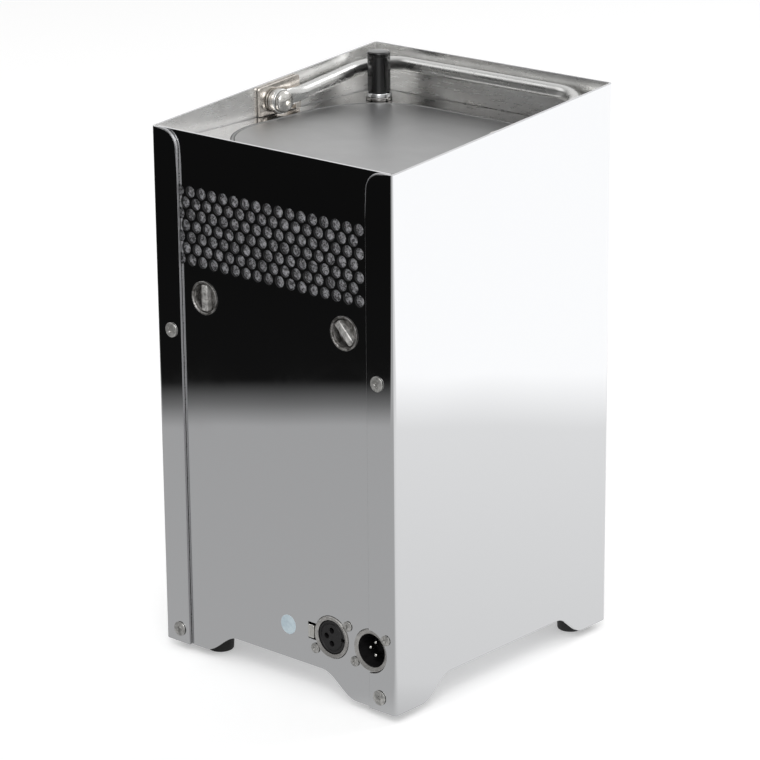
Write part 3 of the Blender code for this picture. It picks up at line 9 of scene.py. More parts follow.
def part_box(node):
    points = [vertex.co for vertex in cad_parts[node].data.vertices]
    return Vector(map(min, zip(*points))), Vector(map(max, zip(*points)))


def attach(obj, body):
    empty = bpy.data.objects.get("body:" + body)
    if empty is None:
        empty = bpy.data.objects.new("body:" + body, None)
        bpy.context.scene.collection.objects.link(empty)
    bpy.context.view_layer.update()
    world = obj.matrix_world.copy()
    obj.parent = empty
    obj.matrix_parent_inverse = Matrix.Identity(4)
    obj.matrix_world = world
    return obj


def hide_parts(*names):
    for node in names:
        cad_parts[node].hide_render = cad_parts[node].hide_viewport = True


# Battery floor spotlight in a folded, mirror polished casing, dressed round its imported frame.
# Everything is in metres, +Z up, with the socket face towards -Y.
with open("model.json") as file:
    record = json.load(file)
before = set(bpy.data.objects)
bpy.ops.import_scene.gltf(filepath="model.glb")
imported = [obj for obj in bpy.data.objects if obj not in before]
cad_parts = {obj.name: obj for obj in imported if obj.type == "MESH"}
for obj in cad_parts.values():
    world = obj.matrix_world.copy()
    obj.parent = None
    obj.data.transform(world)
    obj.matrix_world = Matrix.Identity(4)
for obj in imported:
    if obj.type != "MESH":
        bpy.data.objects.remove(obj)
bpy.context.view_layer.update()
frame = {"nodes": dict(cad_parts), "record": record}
mm = 0.001
outward = Matrix.Rotation(radians(90), 4, "X")   # local +Z looks out of the front, towards -Y
joints = frame["record"]["behaviour"]["joints"]
pivots = {joint["name"]: Vector(joint["pos_m"]) for joint in joints if "pos_m" in joint}


def inMm(**lengths):
    # lengths given in millimetres, as metres
    return {name: length * mm for name, length in lengths.items()}


def linked(name, data):
    made = bpy.data.objects.new(name, data)
    bpy.context.scene.collection.objects.link(made)
    return made


def meshOf(name, bm):
    mesh = bpy.data.meshes.new(name)
    bm.to_mesh(mesh)
    bm.free()
    return mesh


# Nodes

def feed(tree, given, socket):
    # an output is linked, anything else becomes the socket's own value
    if isinstance(given, bpy.types.NodeSocket):
        tree.links.new(given, socket)
    else:
        socket.default_value = given


def addNode(tree, kind, **inputs):
    made = tree.nodes.new("ShaderNode" + kind)
    for name, given in inputs.items():
        feed(tree, given, made.inputs[name.replace("_", " ")])
    return made


def wired(tree, kind, *given, **settings):
    # a node with its inputs filled in order
    made = tree.nodes.new("ShaderNode" + kind)
    for name, value in settings.items():
        setattr(made, name, value)
    for socketIn, value in zip(made.inputs, given):
        feed(tree, value, socketIn)
    return made


def mathNode(tree, operation, *given):
    return wired(tree, "Math", *given, operation=operation).outputs["Value"]


def rangeNode(tree, *given, **settings):
    # given: value, from low, from high, to low, to high
    return wired(tree, "MapRange", *given, **settings).outputs["Result"]


# Camera, light and floor

camera = dict(lens=152.46, sensor=36, clip=50, at=(1.14353, -1.28564, 0.70921), roll=-0.4815,
              right=(0.74634, 0.66556, 0), up=(-0.20399, 0.22875, 0.95187))


def makeCamera():
    data = bpy.data.cameras.new("photoCamera")
    data.lens, data.sensor_width, data.clip_end = camera["lens"], camera["sensor"], camera["clip"]
    roll = radians(camera["roll"])
    right, up = Vector(camera["right"]), Vector(camera["up"])
    across = right * cos(roll) + up * sin(roll)
    above = up * cos(roll) - right * sin(roll)
    turn = Matrix((across, above, across.cross(above))).transposed().to_4x4()
    made = linked("photoCamera", data)
    made.matrix_world = Matrix.Translation(camera["at"]) @ turn
    bpy.context.scene.camera = made


lamps = [
    dict(name="keySoftbox", at=(1.6, -1.9, 2.3), size=1.5, power=42),
    dict(name="fillSoftbox", at=(-2.2, -0.9, 1.9), size=1.6, power=11),
    dict(name="rearSoftbox", at=(0.6, 2.3, 2.2), size=1.4, power=20),
]
# stops: place along the axis from -1 to 1 m, and how bright polished metal sees the floor there
studio = dict(aim=(0, 0, 0.15), ambient=0.52, floorSize=14, floorColour=0.82, floorLift=0.34,
              axis=(-0.666, -0.746, 0), darkFrom=0.15, darkTo=0.80, darkLevel=0.10,
              stops=[(-1.0, 1.45), (-0.61, 1.45), (-0.49, 1.05), (-0.05, 0.92), (0.05, 0.52), (0.515, 0.50),
                     (0.565, 0.20), (0.615, 0.008), (1.0, 0.006)])


def makeLamp(name, at, size, power):
    data = bpy.data.lights.new(name, "AREA")
    data.shape, data.size, data.energy = "SQUARE", size, power
    aim = Vector(studio["aim"]) - Vector(at)
    made = linked(name, data)
    made.matrix_world = Matrix.Translation(at) @ aim.to_track_quat("-Z", "Y").to_matrix().to_4x4()


def rays(tree):
    # the light path, and 1 for glossy and transmitted rays
    path = tree.nodes.new("ShaderNodeLightPath").outputs
    return path, mathNode(tree, "MAXIMUM", path["Is Glossy Ray"], path["Is Transmission Ray"])


def alongAxis(tree):
    # how far a place or a direction lies along the studio's axis
    where = tree.nodes.new("ShaderNodeTexCoord").outputs["Object"]
    return wired(tree, "VectorMath", where, studio["axis"], operation="DOT_PRODUCT").outputs["Value"]


def makeWorld():
    world = bpy.data.worlds.new("paleStudio")
    bpy.context.scene.world = world
    world.use_nodes = True
    tree = world.node_tree
    path, mirrored = rays(tree)
    seen = mathNode(tree, "MAXIMUM", mirrored, path["Is Camera Ray"])
    level = rangeNode(tree, seen, 0, 1, studio["ambient"], 1)
    # polished metal also mirrors the unlit end of the room, past the socket side
    unlit = rangeNode(tree, alongAxis(tree), studio["darkFrom"], studio["darkTo"], 1, studio["darkLevel"],
                      interpolation_type="SMOOTHSTEP")
    shade = addNode(tree, "Mix", Factor=path["Is Glossy Ray"], A=1, B=unlit).outputs["Result"]
    back = tree.nodes["Background"].inputs
    back["Color"].default_value = (1, 1, 1, 1)
    feed(tree, mathNode(tree, "MULTIPLY", level, shade), back["Strength"])


def makeFloor():
    # Metal sees the floor as the studio round it: a lit sweep behind, a table, and the dark room in front
    bm = bmesh.new()
    bmesh.ops.create_grid(bm, x_segments=1, y_segments=1, size=studio["floorSize"] / 2)
    floor = linked("studioFloor", meshOf("studioFloor", bm))
    made = bpy.data.materials.new("floorPaper")
    made.use_nodes = True
    tree = made.node_tree
    tree.nodes.remove(tree.nodes["Principled BSDF"])
    path, mirrored = rays(tree)
    paper = addNode(tree, "BsdfDiffuse", Color=(*[studio["floorColour"]] * 3, 1))
    lifted = mathNode(tree, "MULTIPLY", path["Is Camera Ray"], studio["floorLift"])
    lift = addNode(tree, "Emission", Strength=lifted)
    lit = wired(tree, "AddShader", paper.outputs[0], lift.outputs[0])
    ramp = wired(tree, "ValToRGB", rangeNode(tree, alongAxis(tree), -1))
    stops = studio["stops"]
    brightest = max(level for _, level in stops)
    while len(ramp.color_ramp.elements) < len(stops):
        ramp.color_ramp.elements.new(0.5)
    for element, (place, level) in zip(ramp.color_ramp.elements, stops):
        element.position = (place + 1) / 2
        element.color = (*[level / brightest] * 3, 1)
    room = addNode(tree, "Emission", Strength=brightest, Color=ramp.outputs["Color"])
    above = wired(tree, "MixShader", mirrored, lit.outputs[0], room.outputs[0])
    # from below the floor is clear, so that the underside can be looked at
    under = tree.nodes.new("ShaderNodeNewGeometry").outputs["Backfacing"]
    clearPaper = tree.nodes.new("ShaderNodeBsdfTransparent").outputs[0]
    sides = wired(tree, "MixShader", under, above.outputs[0], clearPaper)
    feed(tree, sides.outputs[0], tree.nodes["Material Output"].inputs["Surface"])
    floor.data.materials.append(made)


# Shape helpers, all on bmesh

def move(x, y, z):
    return Matrix.Translation((x, y, z))


def turned(angle, axis):
    return Matrix.Rotation(radians(angle), 4, axis)


def frontAt(x, y, z):
    return move(x, y, z) @ outward


def middle(node):
    low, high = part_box(node)
    return (low + high) / 2


def upright(node, z):
    spot = middle(node)
    return move(spot.x, spot.y, z)


def placed(bm, at):
    bmesh.ops.transform(bm, matrix=at, verts=bm.verts)
    return bm


def shape(*parts):
    # one bmesh from several
    bm = parts[0]
    for other in parts[1:]:
        mesh = meshOf("part", other)
        bm.from_mesh(mesh)
        bpy.data.meshes.remove(mesh)
    return bm


def wire(points):
    bm = bmesh.new()
    verts = [bm.verts.new(point) for point in points]
    return bm, verts, [bm.edges.new(pair) for pair in zip(verts, verts[1:])]


def spun(profile, at=Matrix(), steps=48):
    # a (radius, height) profile turned about local Z
    bm, verts, edges = wire([(radius, 0, height) for radius, height in profile])
    bmesh.ops.spin(bm, geom=verts + edges, axis=(0, 0, 1), cent=(0, 0, 0), steps=steps, angle=2 * pi,
                   use_merge=True)
    bmesh.ops.remove_doubles(bm, verts=bm.verts, dist=0.000001)
    bmesh.ops.recalc_face_normals(bm, faces=bm.faces)
    return placed(bm, at)


def pull(bm, raised, along):
    # moves what was just extruded
    verts = [item for item in raised["geom"] if isinstance(item, bmesh.types.BMVert)]
    bmesh.ops.translate(bm, vec=along, verts=verts)


def slab(outline, thickness, at=Matrix()):
    bm = bmesh.new()
    face = bm.faces.new([bm.verts.new((x, y, 0)) for x, y in outline])
    pull(bm, bmesh.ops.extrude_face_region(bm, geom=[face]), (0, 0, thickness))
    bmesh.ops.recalc_face_normals(bm, faces=bm.faces)
    return placed(bm, at)


def bevel(bm, geom, width, segments, affect="EDGES", material=-1, **more):
    bmesh.ops.bevel(bm, geom=geom, offset=width, segments=segments, profile=0.5, affect=affect,
                    material=material, **more)


def bevelSharp(bm, width, segments=2, angle=35):
    sharp = [edge for edge in bm.edges
             if len(edge.link_faces) == 2 and edge.calc_face_angle(0) > radians(angle)]
    bevel(bm, sharp, width, segments, clamp_overlap=True)
    return bm


def brick(low, high, at=Matrix(), edge=0.0, segments=3):
    low, high = Vector(low), Vector(high)
    bm = bmesh.new()
    bmesh.ops.create_cube(bm, size=1)
    bmesh.ops.scale(bm, vec=high - low, verts=bm.verts)
    bmesh.ops.translate(bm, vec=(low + high) / 2, verts=bm.verts)
    return placed(bevelSharp(bm, edge, segments) if edge else bm, at)


def drill(radius, depth, at, sides=32):
    bm = bmesh.new()
    bmesh.ops.create_cone(bm, cap_ends=True, segments=sides, radius1=radius, radius2=radius, depth=depth)
    return placed(bm, at)


def folded(points, along, bend, steps, faceOut):
    # sheet drawn from a line of points, bent where they turn; faceOut tells its outer side
    bm, _, edges = wire(points)
    pull(bm, bmesh.ops.extrude_edge_only(bm, edges=edges), along)
    bm.normal_update()
    outer = max(bm.faces, key=lambda face: face.calc_center_median().dot(faceOut))
    if outer.normal.dot(faceOut) < 0:
        bmesh.ops.reverse_faces(bm, faces=bm.faces)
    bevel(bm, [edge for edge in bm.edges if len(edge.link_faces) == 2], bend, steps)
    return bm


def sliced(bm, at, normal, **more):
    bmesh.ops.bisect_plane(bm, geom=[*bm.verts, *bm.edges, *bm.faces], plane_co=at, plane_no=normal, **more)


def drop(made):
    mesh = made.data
    bpy.data.objects.remove(made)
    bpy.data.meshes.remove(mesh)


def worked(bm, kind, slots=0, **settings):
    # the shape with one modifier applied
    made = linked("work", meshOf("work", bm))
    for _ in range(slots):
        made.data.materials.append(None)
    modifier = made.modifiers.new(kind, kind)
    for name, value in settings.items():
        setattr(modifier, name, value)
    bpy.context.view_layer.update()
    result = bmesh.new()
    result.from_object(made, bpy.context.evaluated_depsgraph_get())
    drop(made)
    return result


def joined(bm, other, how):
    tool = linked("tool", meshOf("tool", other))
    result = worked(bm, "BOOLEAN", operation=how, solver="EXACT", object=tool)
    drop(tool)
    return result


def cutOut(bm, other):
    return joined(bm, other, "DIFFERENCE")


def fused(bm, other):
    return joined(bm, other, "UNION")


def thickened(bm, thickness):
    return worked(bm, "SOLIDIFY", thickness=thickness, offset=-1, use_even_offset=True)


def broken(bm, width, angle=50, segments=2, slot=0):
    # sheet edges as they leave the deburring wheel; slot picks their finish from the piece's list
    return worked(bm, "BEVEL", slots=slot + 1, width=width, segments=segments, material=slot if slot else -1,
                  limit_method="ANGLE", angle_limit=radians(angle))


def keep(name, bm, finish, slotName, *nodes, body="casing", smooth=40, flatWalls=False, more=()):
    mesh = meshOf(name, bm)
    mesh.shade_smooth()
    mesh.set_sharp_from_angle(angle=radians(smooth))
    for each in (finish, *more):
        mesh.materials.append(each.material)
    made = linked(name, mesh)
    if flatWalls:
        even = made.modifiers.new("flatWalls", "WEIGHTED_NORMAL")
        even.keep_sharp = True
        even.weight = 80
    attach(made, body)
    if nodes:
        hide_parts(*nodes)


def softRectangle(halfX, halfY, radius, centre=(0, 0), steps=12):
    loop = []
    for signX, signY, start in ((1, 1, 0), (-1, 1, 90), (-1, -1, 180), (1, -1, 270)):
        for k in range(steps + 1):
            angle = radians(start + 90 * k / steps)
            loop.append((centre[0] + signX * (halfX - radius) + radius * cos(angle),
                         centre[1] + signY * (halfY - radius) + radius * sin(angle)))
    return loop


def arc(steps):
    # sine and cosine through a quarter turn
    return [(sin(pi / 2 * k / steps), cos(pi / 2 * k / steps)) for k in range(steps + 1)]


def rounded(radius, end, turn, steps, way=1):
    # a rim's quarter round, from the flat end out to the side; way is -1 where the end looks down
    return [(radius - turn + turn * across, end - way * (turn - turn * up)) for across, up in arc(steps)]


def headed(sizes, length, at, steps=48, domeSteps=8):
    # a domed head on its shank
    radius, edge, shank = sizes["headRadius"], sizes["edge"], sizes["shank"]
    crown = [(radius * across, edge + (sizes["head"] - edge) * up) for across, up in arc(domeSteps)]
    return spun([*crown, (radius, 0), (shank, 0), (shank, -length), (0, -length)], at, steps)


# Surface effects shared by the finishes

def newGroup(name, outputs, **inputs):
    made = bpy.data.node_groups.new(name, "ShaderNodeTree")
    made.interface.new_socket(name="Vector", in_out="INPUT", socket_type="NodeSocketVector")
    number = "NodeSocketFloat"
    for each, value in inputs.items():
        made.interface.new_socket(name=each, in_out="INPUT", socket_type=number).default_value = value
    for each in outputs:
        made.interface.new_socket(name=each, in_out="OUTPUT", socket_type=number)
    return made, made.nodes.new("NodeGroupInput").outputs, made.nodes.new("NodeGroupOutput").inputs


def noiseNode(tree, start, **settings):
    return addNode(tree, "TexNoise", Vector=start["Vector"], Scale=start["Scale"], **settings).outputs["Fac"]


def makeSmudge():
    # cloudy handling marks: a soft mask between two noise levels
    group, start, end = newGroup("smudge", ["Mask"], Scale=30, Low=0.4, High=0.7)
    cloud = noiseNode(group, start, Detail=4, Roughness=0.6, Distortion=0.8)
    feed(group, rangeNode(group, cloud, start["Low"], start["High"]), end["Mask"])
    return group


def makeGrain():
    # fine lines or pits: the material stretches the coordinates it is given
    group, start, end = newGroup("grain", ["Height", "Mask"], Scale=800)
    fine = noiseNode(group, start, Detail=2, Roughness=0.6)
    feed(group, fine, end["Height"])
    feed(group, rangeNode(group, fine, 0.35, 0.65), end["Mask"])
    return group


def makeSheetWave():
    # slow unevenness of rolled and folded sheet
    group, start, end = newGroup("sheetWave", ["Height"], Scale=9)
    feed(group, noiseNode(group, start, Detail=1, Roughness=0.4, Distortion=0.3), end["Height"])
    return group


effects = dict(smudge=makeSmudge(), grain=makeGrain(), sheetWave=makeSheetWave())


class Finish:
    # a Principled material; rough, tint and bump use the effect that was called last
    def __init__(self, name, colour, roughness, metallic=0.0, **more):
        self.material = bpy.data.materials.new(name)
        self.material.use_nodes = True
        self.material.diffuse_color = (*colour, 1)
        self.tree = self.material.node_tree
        self.shader = self.tree.nodes["Principled BSDF"].inputs
        self.where = self.tree.nodes.new("ShaderNodeTexCoord").outputs["Object"]
        more.update(Base_Color=(*colour, 1), Roughness=roughness, Metallic=metallic)
        for each, value in more.items():
            self.shader[each.replace("_", " ")].default_value = value

    def effect(self, name, scale, stretch=None, **values):
        vector = self.where
        if stretch:
            vector = addNode(self.tree, "Mapping", Vector=vector, Scale=stretch).outputs["Vector"]
        made = self.tree.nodes.new("ShaderNodeGroup")
        made.node_tree = effects[name]
        for each, given in dict(Vector=vector, Scale=scale, **values).items():
            feed(self.tree, given, made.inputs[each])
        self.mask = made.outputs.get("Mask")
        self.height = made.outputs.get("Height") or self.mask
        return self

    def cloud(self, scale, low=0.4, high=0.7, stretch=None):
        return self.effect("smudge", scale, stretch, Low=low, High=high)

    def grain(self, scale, stretch=None):
        return self.effect("grain", scale, stretch)

    def wave(self, scale):
        return self.effect("sheetWave", scale)

    def rough(self, low, high):
        feed(self.tree, rangeNode(self.tree, self.mask, 0, 1, low, high), self.shader["Roughness"])
        return self

    def tint(self, first, second):
        mix = self.tree.nodes.new("ShaderNodeMix")
        mix.data_type = "RGBA"
        for each, given in dict(A=(*first, 1), B=(*second, 1), Factor=self.mask).items():
            feed(self.tree, given, mix.inputs[each])
        feed(self.tree, mix.outputs["Result"], self.shader["Base Color"])
        return self

    def bump(self, distance):
        made = addNode(self.tree, "Bump", Strength=1, Distance=distance, Height=self.height)
        earlier = self.shader["Normal"].links
        if earlier:
            feed(self.tree, earlier[0].from_socket, made.inputs["Normal"])
        feed(self.tree, made.outputs["Normal"], self.shader["Normal"])
        return self


def trayMirror(name, colour):
    # polished once, then worn by hands and cloths
    return Finish(name, colour, 0.12, 1.0).cloud(45, 0.35, 0.70).rough(0.08, 0.20).wave(16).bump(0.0008)


def moulded(name, colour, roughness=0.5, pits=0.00003):
    made = Finish(name, colour, roughness).cloud(180, 0.35, 0.70)
    made.tint(colour, [channel * 1.5 for channel in colour]).rough(roughness - 0.05, roughness + 0.09)
    return made.grain(1600).bump(pits)


def maskedBoard(name, colour, darker):
    # solder mask with faint copper runs under it
    made = Finish(name, colour, 0.38).grain(260, (1, 0.06, 1)).tint(colour, darker)
    return made.cloud(70).rough(0.32, 0.46)


steel = Finish("polishedSteel", (0.66, 0.665, 0.675), 0.05, 1.0).cloud(22, 0.45, 0.75).rough(0.035, 0.075)
steel.wave(7).bump(0.0006).grain(700, (1, 1, 0.12)).bump(0.000002)
# the sheet's inner side, never polished: what the tray's walls are made of
satin = Finish("satinSteel", (0.76, 0.76, 0.75), 0.30, 1.0)
satin.cloud(34, 0.35, 0.70).tint((0.86, 0.86, 0.85), (0.72, 0.71, 0.70))
satin.grain(900, (0.1, 0.1, 1)).rough(0.26, 0.34)
# where the casing's edges were deburred; on the tray's folds its darker colour is painted shade
dull = Finish("brushedEdge", (0.40, 0.40, 0.41), 0.45, 0.8).grain(1200).rough(0.38, 0.55)
# inside the vent's holes: near-black with fine cut lines, painted shade on the hole walls
ventHoleShade = Finish("ventHoleShade", (0.05, 0.05, 0.05), 0.55, 0.6).grain(1500, (1, 0.1, 1)).bump(0.00002)
deck = trayMirror("trayMirror", (0.70, 0.695, 0.69))
# the deck's finish at half its brightness for the antenna collar: painted shade below the bright ring
shadedCollarSteel = trayMirror("shadedCollarSteel", (0.34, 0.33, 0.32))
rodSteel = Finish("handleSteel", (0.60, 0.60, 0.59), 0.26, 1.0).cloud(60, 0.35, 0.70).rough(0.22, 0.32)
rodSteel.grain(900, (0.25, 1, 1)).bump(0.000003)
# bright button heads, blotched by handling
boltSteel = Finish("boltSteel", (0.66, 0.65, 0.62), 0.22, 1.0).cloud(260, 0.35, 0.65)
boltSteel.tint((0.74, 0.73, 0.70), (0.42, 0.41, 0.39)).rough(0.16, 0.34).bump(0.00008)
# warmer, cut from another sheet than the casing
bracketSteel = Finish("bracketSteel", (0.70, 0.66, 0.61), 0.18, 1.0).cloud(120, 0.35, 0.70)
bracketSteel.tint((0.74, 0.70, 0.65), (0.52, 0.48, 0.44)).rough(0.14, 0.26)
plated = Finish("platedScrew", (0.44, 0.44, 0.43), 0.42, 0.7).cloud(420, 0.35, 0.65)
plated.tint((0.58, 0.57, 0.55), (0.28, 0.28, 0.27)).rough(0.36, 0.50).grain(1500).bump(0.00003)
# die-cast, polished by hand: uneven and mottled
cast = Finish("castLock", (0.40, 0.39, 0.37), 0.36, 0.75).cloud(340, 0.38, 0.62)
cast.tint((0.36, 0.35, 0.34), (0.09, 0.085, 0.08)).rough(0.30, 0.46).bump(0.00010)
# the locks' bars: satin and lighter than the cup, a painted highlight for their bright gleam
barHighlight = Finish("barPaintedHighlight", (0.56, 0.55, 0.53), 0.40, 0.4).cloud(300, 0.38, 0.62)
barHighlight.tint((0.64, 0.63, 0.61), (0.22, 0.215, 0.21))
nickel = Finish("nickelBarrel", (0.46, 0.45, 0.44), 0.38, 0.7).cloud(240, 0.35, 0.70)
nickel.tint((0.53, 0.52, 0.50), (0.34, 0.33, 0.32)).rough(0.32, 0.46)
bright = Finish("brightPin", (0.70, 0.69, 0.66), 0.18, 1.0).cloud(500).rough(0.10, 0.22)
brass = Finish("turnedBrass", (0.72, 0.54, 0.24), 0.24, 1.0).grain(1500, (0.2, 0.2, 1)).rough(0.18, 0.34)
zinc = Finish("zincSheet", (0.60, 0.61, 0.62), 0.30, 1.0).cloud(140, 0.40, 0.60)
zinc.tint((0.66, 0.67, 0.68), (0.52, 0.53, 0.55)).rough(0.24, 0.42)
# bead-blasted heat sink and can
aluminium = Finish("sawnAluminium", (0.62, 0.62, 0.62), 0.42, 1.0).cloud(260, 0.30, 0.70)
aluminium.tint((0.72, 0.72, 0.72), (0.48, 0.48, 0.48)).grain(600).bump(0.0002)
black = moulded("mouldedBlack", (0.018, 0.018, 0.019), 0.42)
socketBlack = moulded("socketBlack", (0.006, 0.0055, 0.006))
silicone = moulded("greySilicone", (0.20, 0.20, 0.20))
jacket = moulded("cableJacket", (0.022, 0.022, 0.022), pits=0.00002)
gloss = Finish("glossBlack", (0.008, 0.008, 0.008), 0.09, Specular_IOR_Level=0.45)
gloss.cloud(90, 0.45, 0.75).rough(0.06, 0.14)
rubber = Finish("footRubber", (0.014, 0.014, 0.014), 0.70).cloud(160, 0.50, 0.80)
rubber.tint((0.011, 0.011, 0.011), (0.036, 0.035, 0.033)).grain(1100).bump(0.00010)
# toughened window with a mirror coat, so that the tray shows in it
glass = Finish("windowGlass", (0.11, 0.112, 0.115), 0.10, Transmission_Weight=0.55, IOR=1.52,
               Coat_Weight=1.0, Coat_IOR=2.8, Coat_Roughness=0.38).cloud(26, 0.40, 0.75).rough(0.34, 0.46)
clear = Finish("clearLens", (0.95, 0.96, 0.97), 0.03, Transmission_Weight=1.0, IOR=1.49)
clear.cloud(60).rough(0.02, 0.06)
phosphor = Finish("ledPhosphor", (0.80, 0.62, 0.12), 0.35).grain(900)
phosphor.tint((0.84, 0.68, 0.16), (0.72, 0.52, 0.08))
whiteMask = maskedBoard("whiteMask", (0.84, 0.84, 0.82), (0.76, 0.77, 0.75))
greenMask = maskedBoard("greenMask", (0.02, 0.14, 0.06), (0.04, 0.20, 0.09))
wrap = Finish("shrinkWrap", (0.04, 0.11, 0.30), 0.34).cloud(70, 0.35, 0.70, (1, 1, 0.3))
wrap.tint((0.04, 0.11, 0.30), (0.06, 0.15, 0.38)).bump(0.0004)
# plain pale disc; what is printed on the real one is left bare
pale = Finish("paleLabel", (0.58, 0.66, 0.70), 0.40).cloud(330, 0.40, 0.70)
pale.tint((0.56, 0.66, 0.71), (0.44, 0.54, 0.60))
print("finishes ready")


# Casing

casing = dict(inMm(sheet=1.5, bend=2.5, flange=19, flangeCorner=10.5, rearRise=17, scallopRise=12.5,
                   frontLeg=30, frontSlope=25, sideLeg=22, sideSlope=23, edge=0.4, flangeEdge=1,
                   clearance=0.3, near=0.01, screwHole=2.2), bendSteps=10, scallopSteps=12, cornerSteps=12)


def scallopHeight(offset, half, run):
    leg, slope = casing[run + "Leg"], casing[run + "Slope"]
    share = min(max((abs(offset) - (half - leg - slope)) / slope, 0), 1)
    return casing["scallopRise"] * (1 + cos(pi * share)) / 2


def slopePlaces(half, run):
    leg, slope, steps = casing[run + "Leg"], casing[run + "Slope"], casing["scallopSteps"]
    return [side * (half - leg - slope + slope * k / steps) for side in (-1, 1) for k in range(steps + 1)]


def makeCasing():
    low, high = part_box("outer_shell")
    half, depth = high.x, high.y - low.y
    centreY = (low.y + high.y) / 2
    inner = half - casing["flange"]
    frontRim = high.z - casing["rearRise"]
    near, sheet = casing["near"], casing["sheet"]
    path = [(inner, low.y), (half, low.y), (half, high.y), (-half, high.y), (-half, low.y), (-inner, low.y)]
    bm = folded([(x, y, low.z) for x, y in path], (0, 0, high.z - low.z + casing["rearRise"]), casing["bend"],
                casing["bendSteps"], Vector((0, 1, 0)))
    for x in slopePlaces(half, "front"):
        sliced(bm, (x, 0, 0), (1, 0, 0))
    for y in slopePlaces(depth / 2, "side"):
        sliced(bm, (0, centreY + y, 0), (0, 1, 0))
    for vert in bm.verts:
        if vert.co.z > low.z + mm:
            continue
        if min(abs(vert.co.y - low.y), abs(vert.co.y - high.y)) < near:
            vert.co.z += scallopHeight(vert.co.x, half, "front")
        elif abs(vert.co.x) > half - near:
            vert.co.z += scallopHeight(vert.co.y - centreY, depth / 2, "side")
    sliced(bm, (0, low.y, frontRim), Vector((0, -casing["rearRise"], depth)).normalized(), clear_outer=True)
    corners = [vert for vert in bm.verts if abs(abs(vert.co.x) - inner) < near and vert.co.z > frontRim - mm]
    bevel(bm, corners, casing["flangeCorner"], casing["cornerSteps"], "VERTICES")
    bm = thickened(bm, sheet)
    bm.normal_update()
    # the flanges' front edges are rounded by hand, down to just above the cut lower edge
    flangeEdges = [edge for edge in bm.edges
                   if all(abs(vert.co.y - low.y) < near and abs(vert.co.x) < half - 2 * casing["bend"]
                          for vert in edge.verts)
                   and min(vert.co.z for vert in edge.verts) > low.z + mm / 2
                   and len(edge.link_faces) == 2 and edge.calc_face_angle(0) > 1]
    bevel(bm, flangeEdges, casing["flangeEdge"], 4, material=2)
    through, sheetY = 4 * sheet, low.y + sheet / 2
    holes = [drill(socket["barrel"] + casing["clearance"], through,
                   frontAt(middle("socket_male").x, sheetY, socketCentre()[1]), 64)]
    for spot in map(middle, flangeScrews):
        holes.append(drill(casing["screwHole"], through, frontAt(spot.x, sheetY, spot.z), 24))
    bm = broken(cutOut(bm, shape(*holes)), casing["edge"], segments=4, slot=2)
    # faces that look inwards keep the satin of the raw sheet, and the flanges' cut edges are dull
    wall = sheet * 0.9
    for face in bm.faces:
        spot, normal = face.calc_center_median(), face.normal
        inX, inY = half - abs(spot.x) > wall, min(spot.y - low.y, high.y - spot.y) > wall
        if inX and inY and abs(normal.z) < 0.5:
            face.material_index = 1
        elif inX and abs(normal.x) > 0.5:
            face.material_index = 2
    keep("casing_shell", bm, steel, "polished_steel", "outer_shell", flatWalls=True, more=[satin, dull])


panel = dict(inMm(sheet=1.5, edge=0.15, pitchX=8.2, pitchZ=6.43, ventRadius=3.2, ventShift=-3,
                  ventBelowRim=52.5, lockHole=9.1, notchHalf=4.9, notchReach=17.5, ventLow=228, ventLeft=5),
             ventRows=7, ventColumns=17, ventSides=24)
# nuts pressed in behind the flange screws and the feet; seat is their middle, in sheets from the sheet's face
pressNut = dict(inMm(radius=4, height=3.2), seat=1.8)


def nut(at):
    return drill(pressNut["radius"], pressNut["height"], at, 6)


def ventPlaces():
    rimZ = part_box("outer_shell")[1].z - casing["rearRise"]
    for row in range(panel["ventRows"]):
        count = panel["ventColumns"] - row % 2
        z = rimZ - panel["ventBelowRim"] + ((panel["ventRows"] - 1) / 2 - row) * panel["pitchZ"]
        for column in range(count):
            yield panel["ventShift"] + (column - (count - 1) / 2) * panel["pitchX"], z


def makePanel():
    low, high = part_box("front_panel")
    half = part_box("outer_shell")[1].x
    sheet, faceY = panel["sheet"], low.y
    through = 4 * sheet

    def drilled(radius, x, z, sides, depth=through):
        return drill(radius, depth, frontAt(x, faceY, z), sides)

    bottom = sorted((x, low.z + scallopHeight(x, half, "front")) for x in slopePlaces(half, "front"))
    outline = [(low.x, low.z), *bottom, (high.x, low.z), (high.x, high.z), (low.x, high.z)]
    spots = [middle(node) for node in flangeScrews]
    nuts = [nut(frontAt(spot.x, faceY + pressNut["seat"] * sheet, spot.z)) for spot in spots]
    bm = fused(slab(outline, sheet, frontAt(0, faceY + sheet, 0)), shape(*nuts))
    holes = [drilled(screw["shank"] + casing["clearance"], spot.x, spot.z, 24, 2 * through) for spot in spots]
    for side in ("left", "right"):
        spot = middle("lock_cup_" + side)
        holes.append(drilled(panel["lockHole"], spot.x, spot.z, 48))
    femaleX, socketZ = socketCentre()
    radius = socket["barrel"] + casing["clearance"]
    notch = brick((-panel["notchReach"], -panel["notchHalf"], -through * 0.45),
                  (0, panel["notchHalf"], through * 0.45), frontAt(femaleX, faceY, socketZ))
    holes.append(fused(drilled(radius, femaleX, socketZ, 64), notch))
    holes.append(drilled(radius, middle("socket_male").x, socketZ, 64))
    holes += [drilled(panel["ventRadius"], x, z, panel["ventSides"]) for x, z in ventPlaces()]
    bm = broken(cutOut(bm, shape(*holes)), panel["edge"])
    # the vent holes' walls take the near-black finish: painted shade inside the holes
    for face in bm.faces:
        height = face.calc_center_median().z
        if abs(face.normal.y) < 0.98 and panel["ventLow"] < height < high.z - panel["ventLeft"]:
            face.material_index = 1
    keep("vented_panel", bm, steel, "polished_steel", "front_panel", flatWalls=True, more=[ventHoleShade])


gauze = dict(inMm(behind=1, thickness=0.5, margin=1.6, wireHeight=0.2), wires=260)


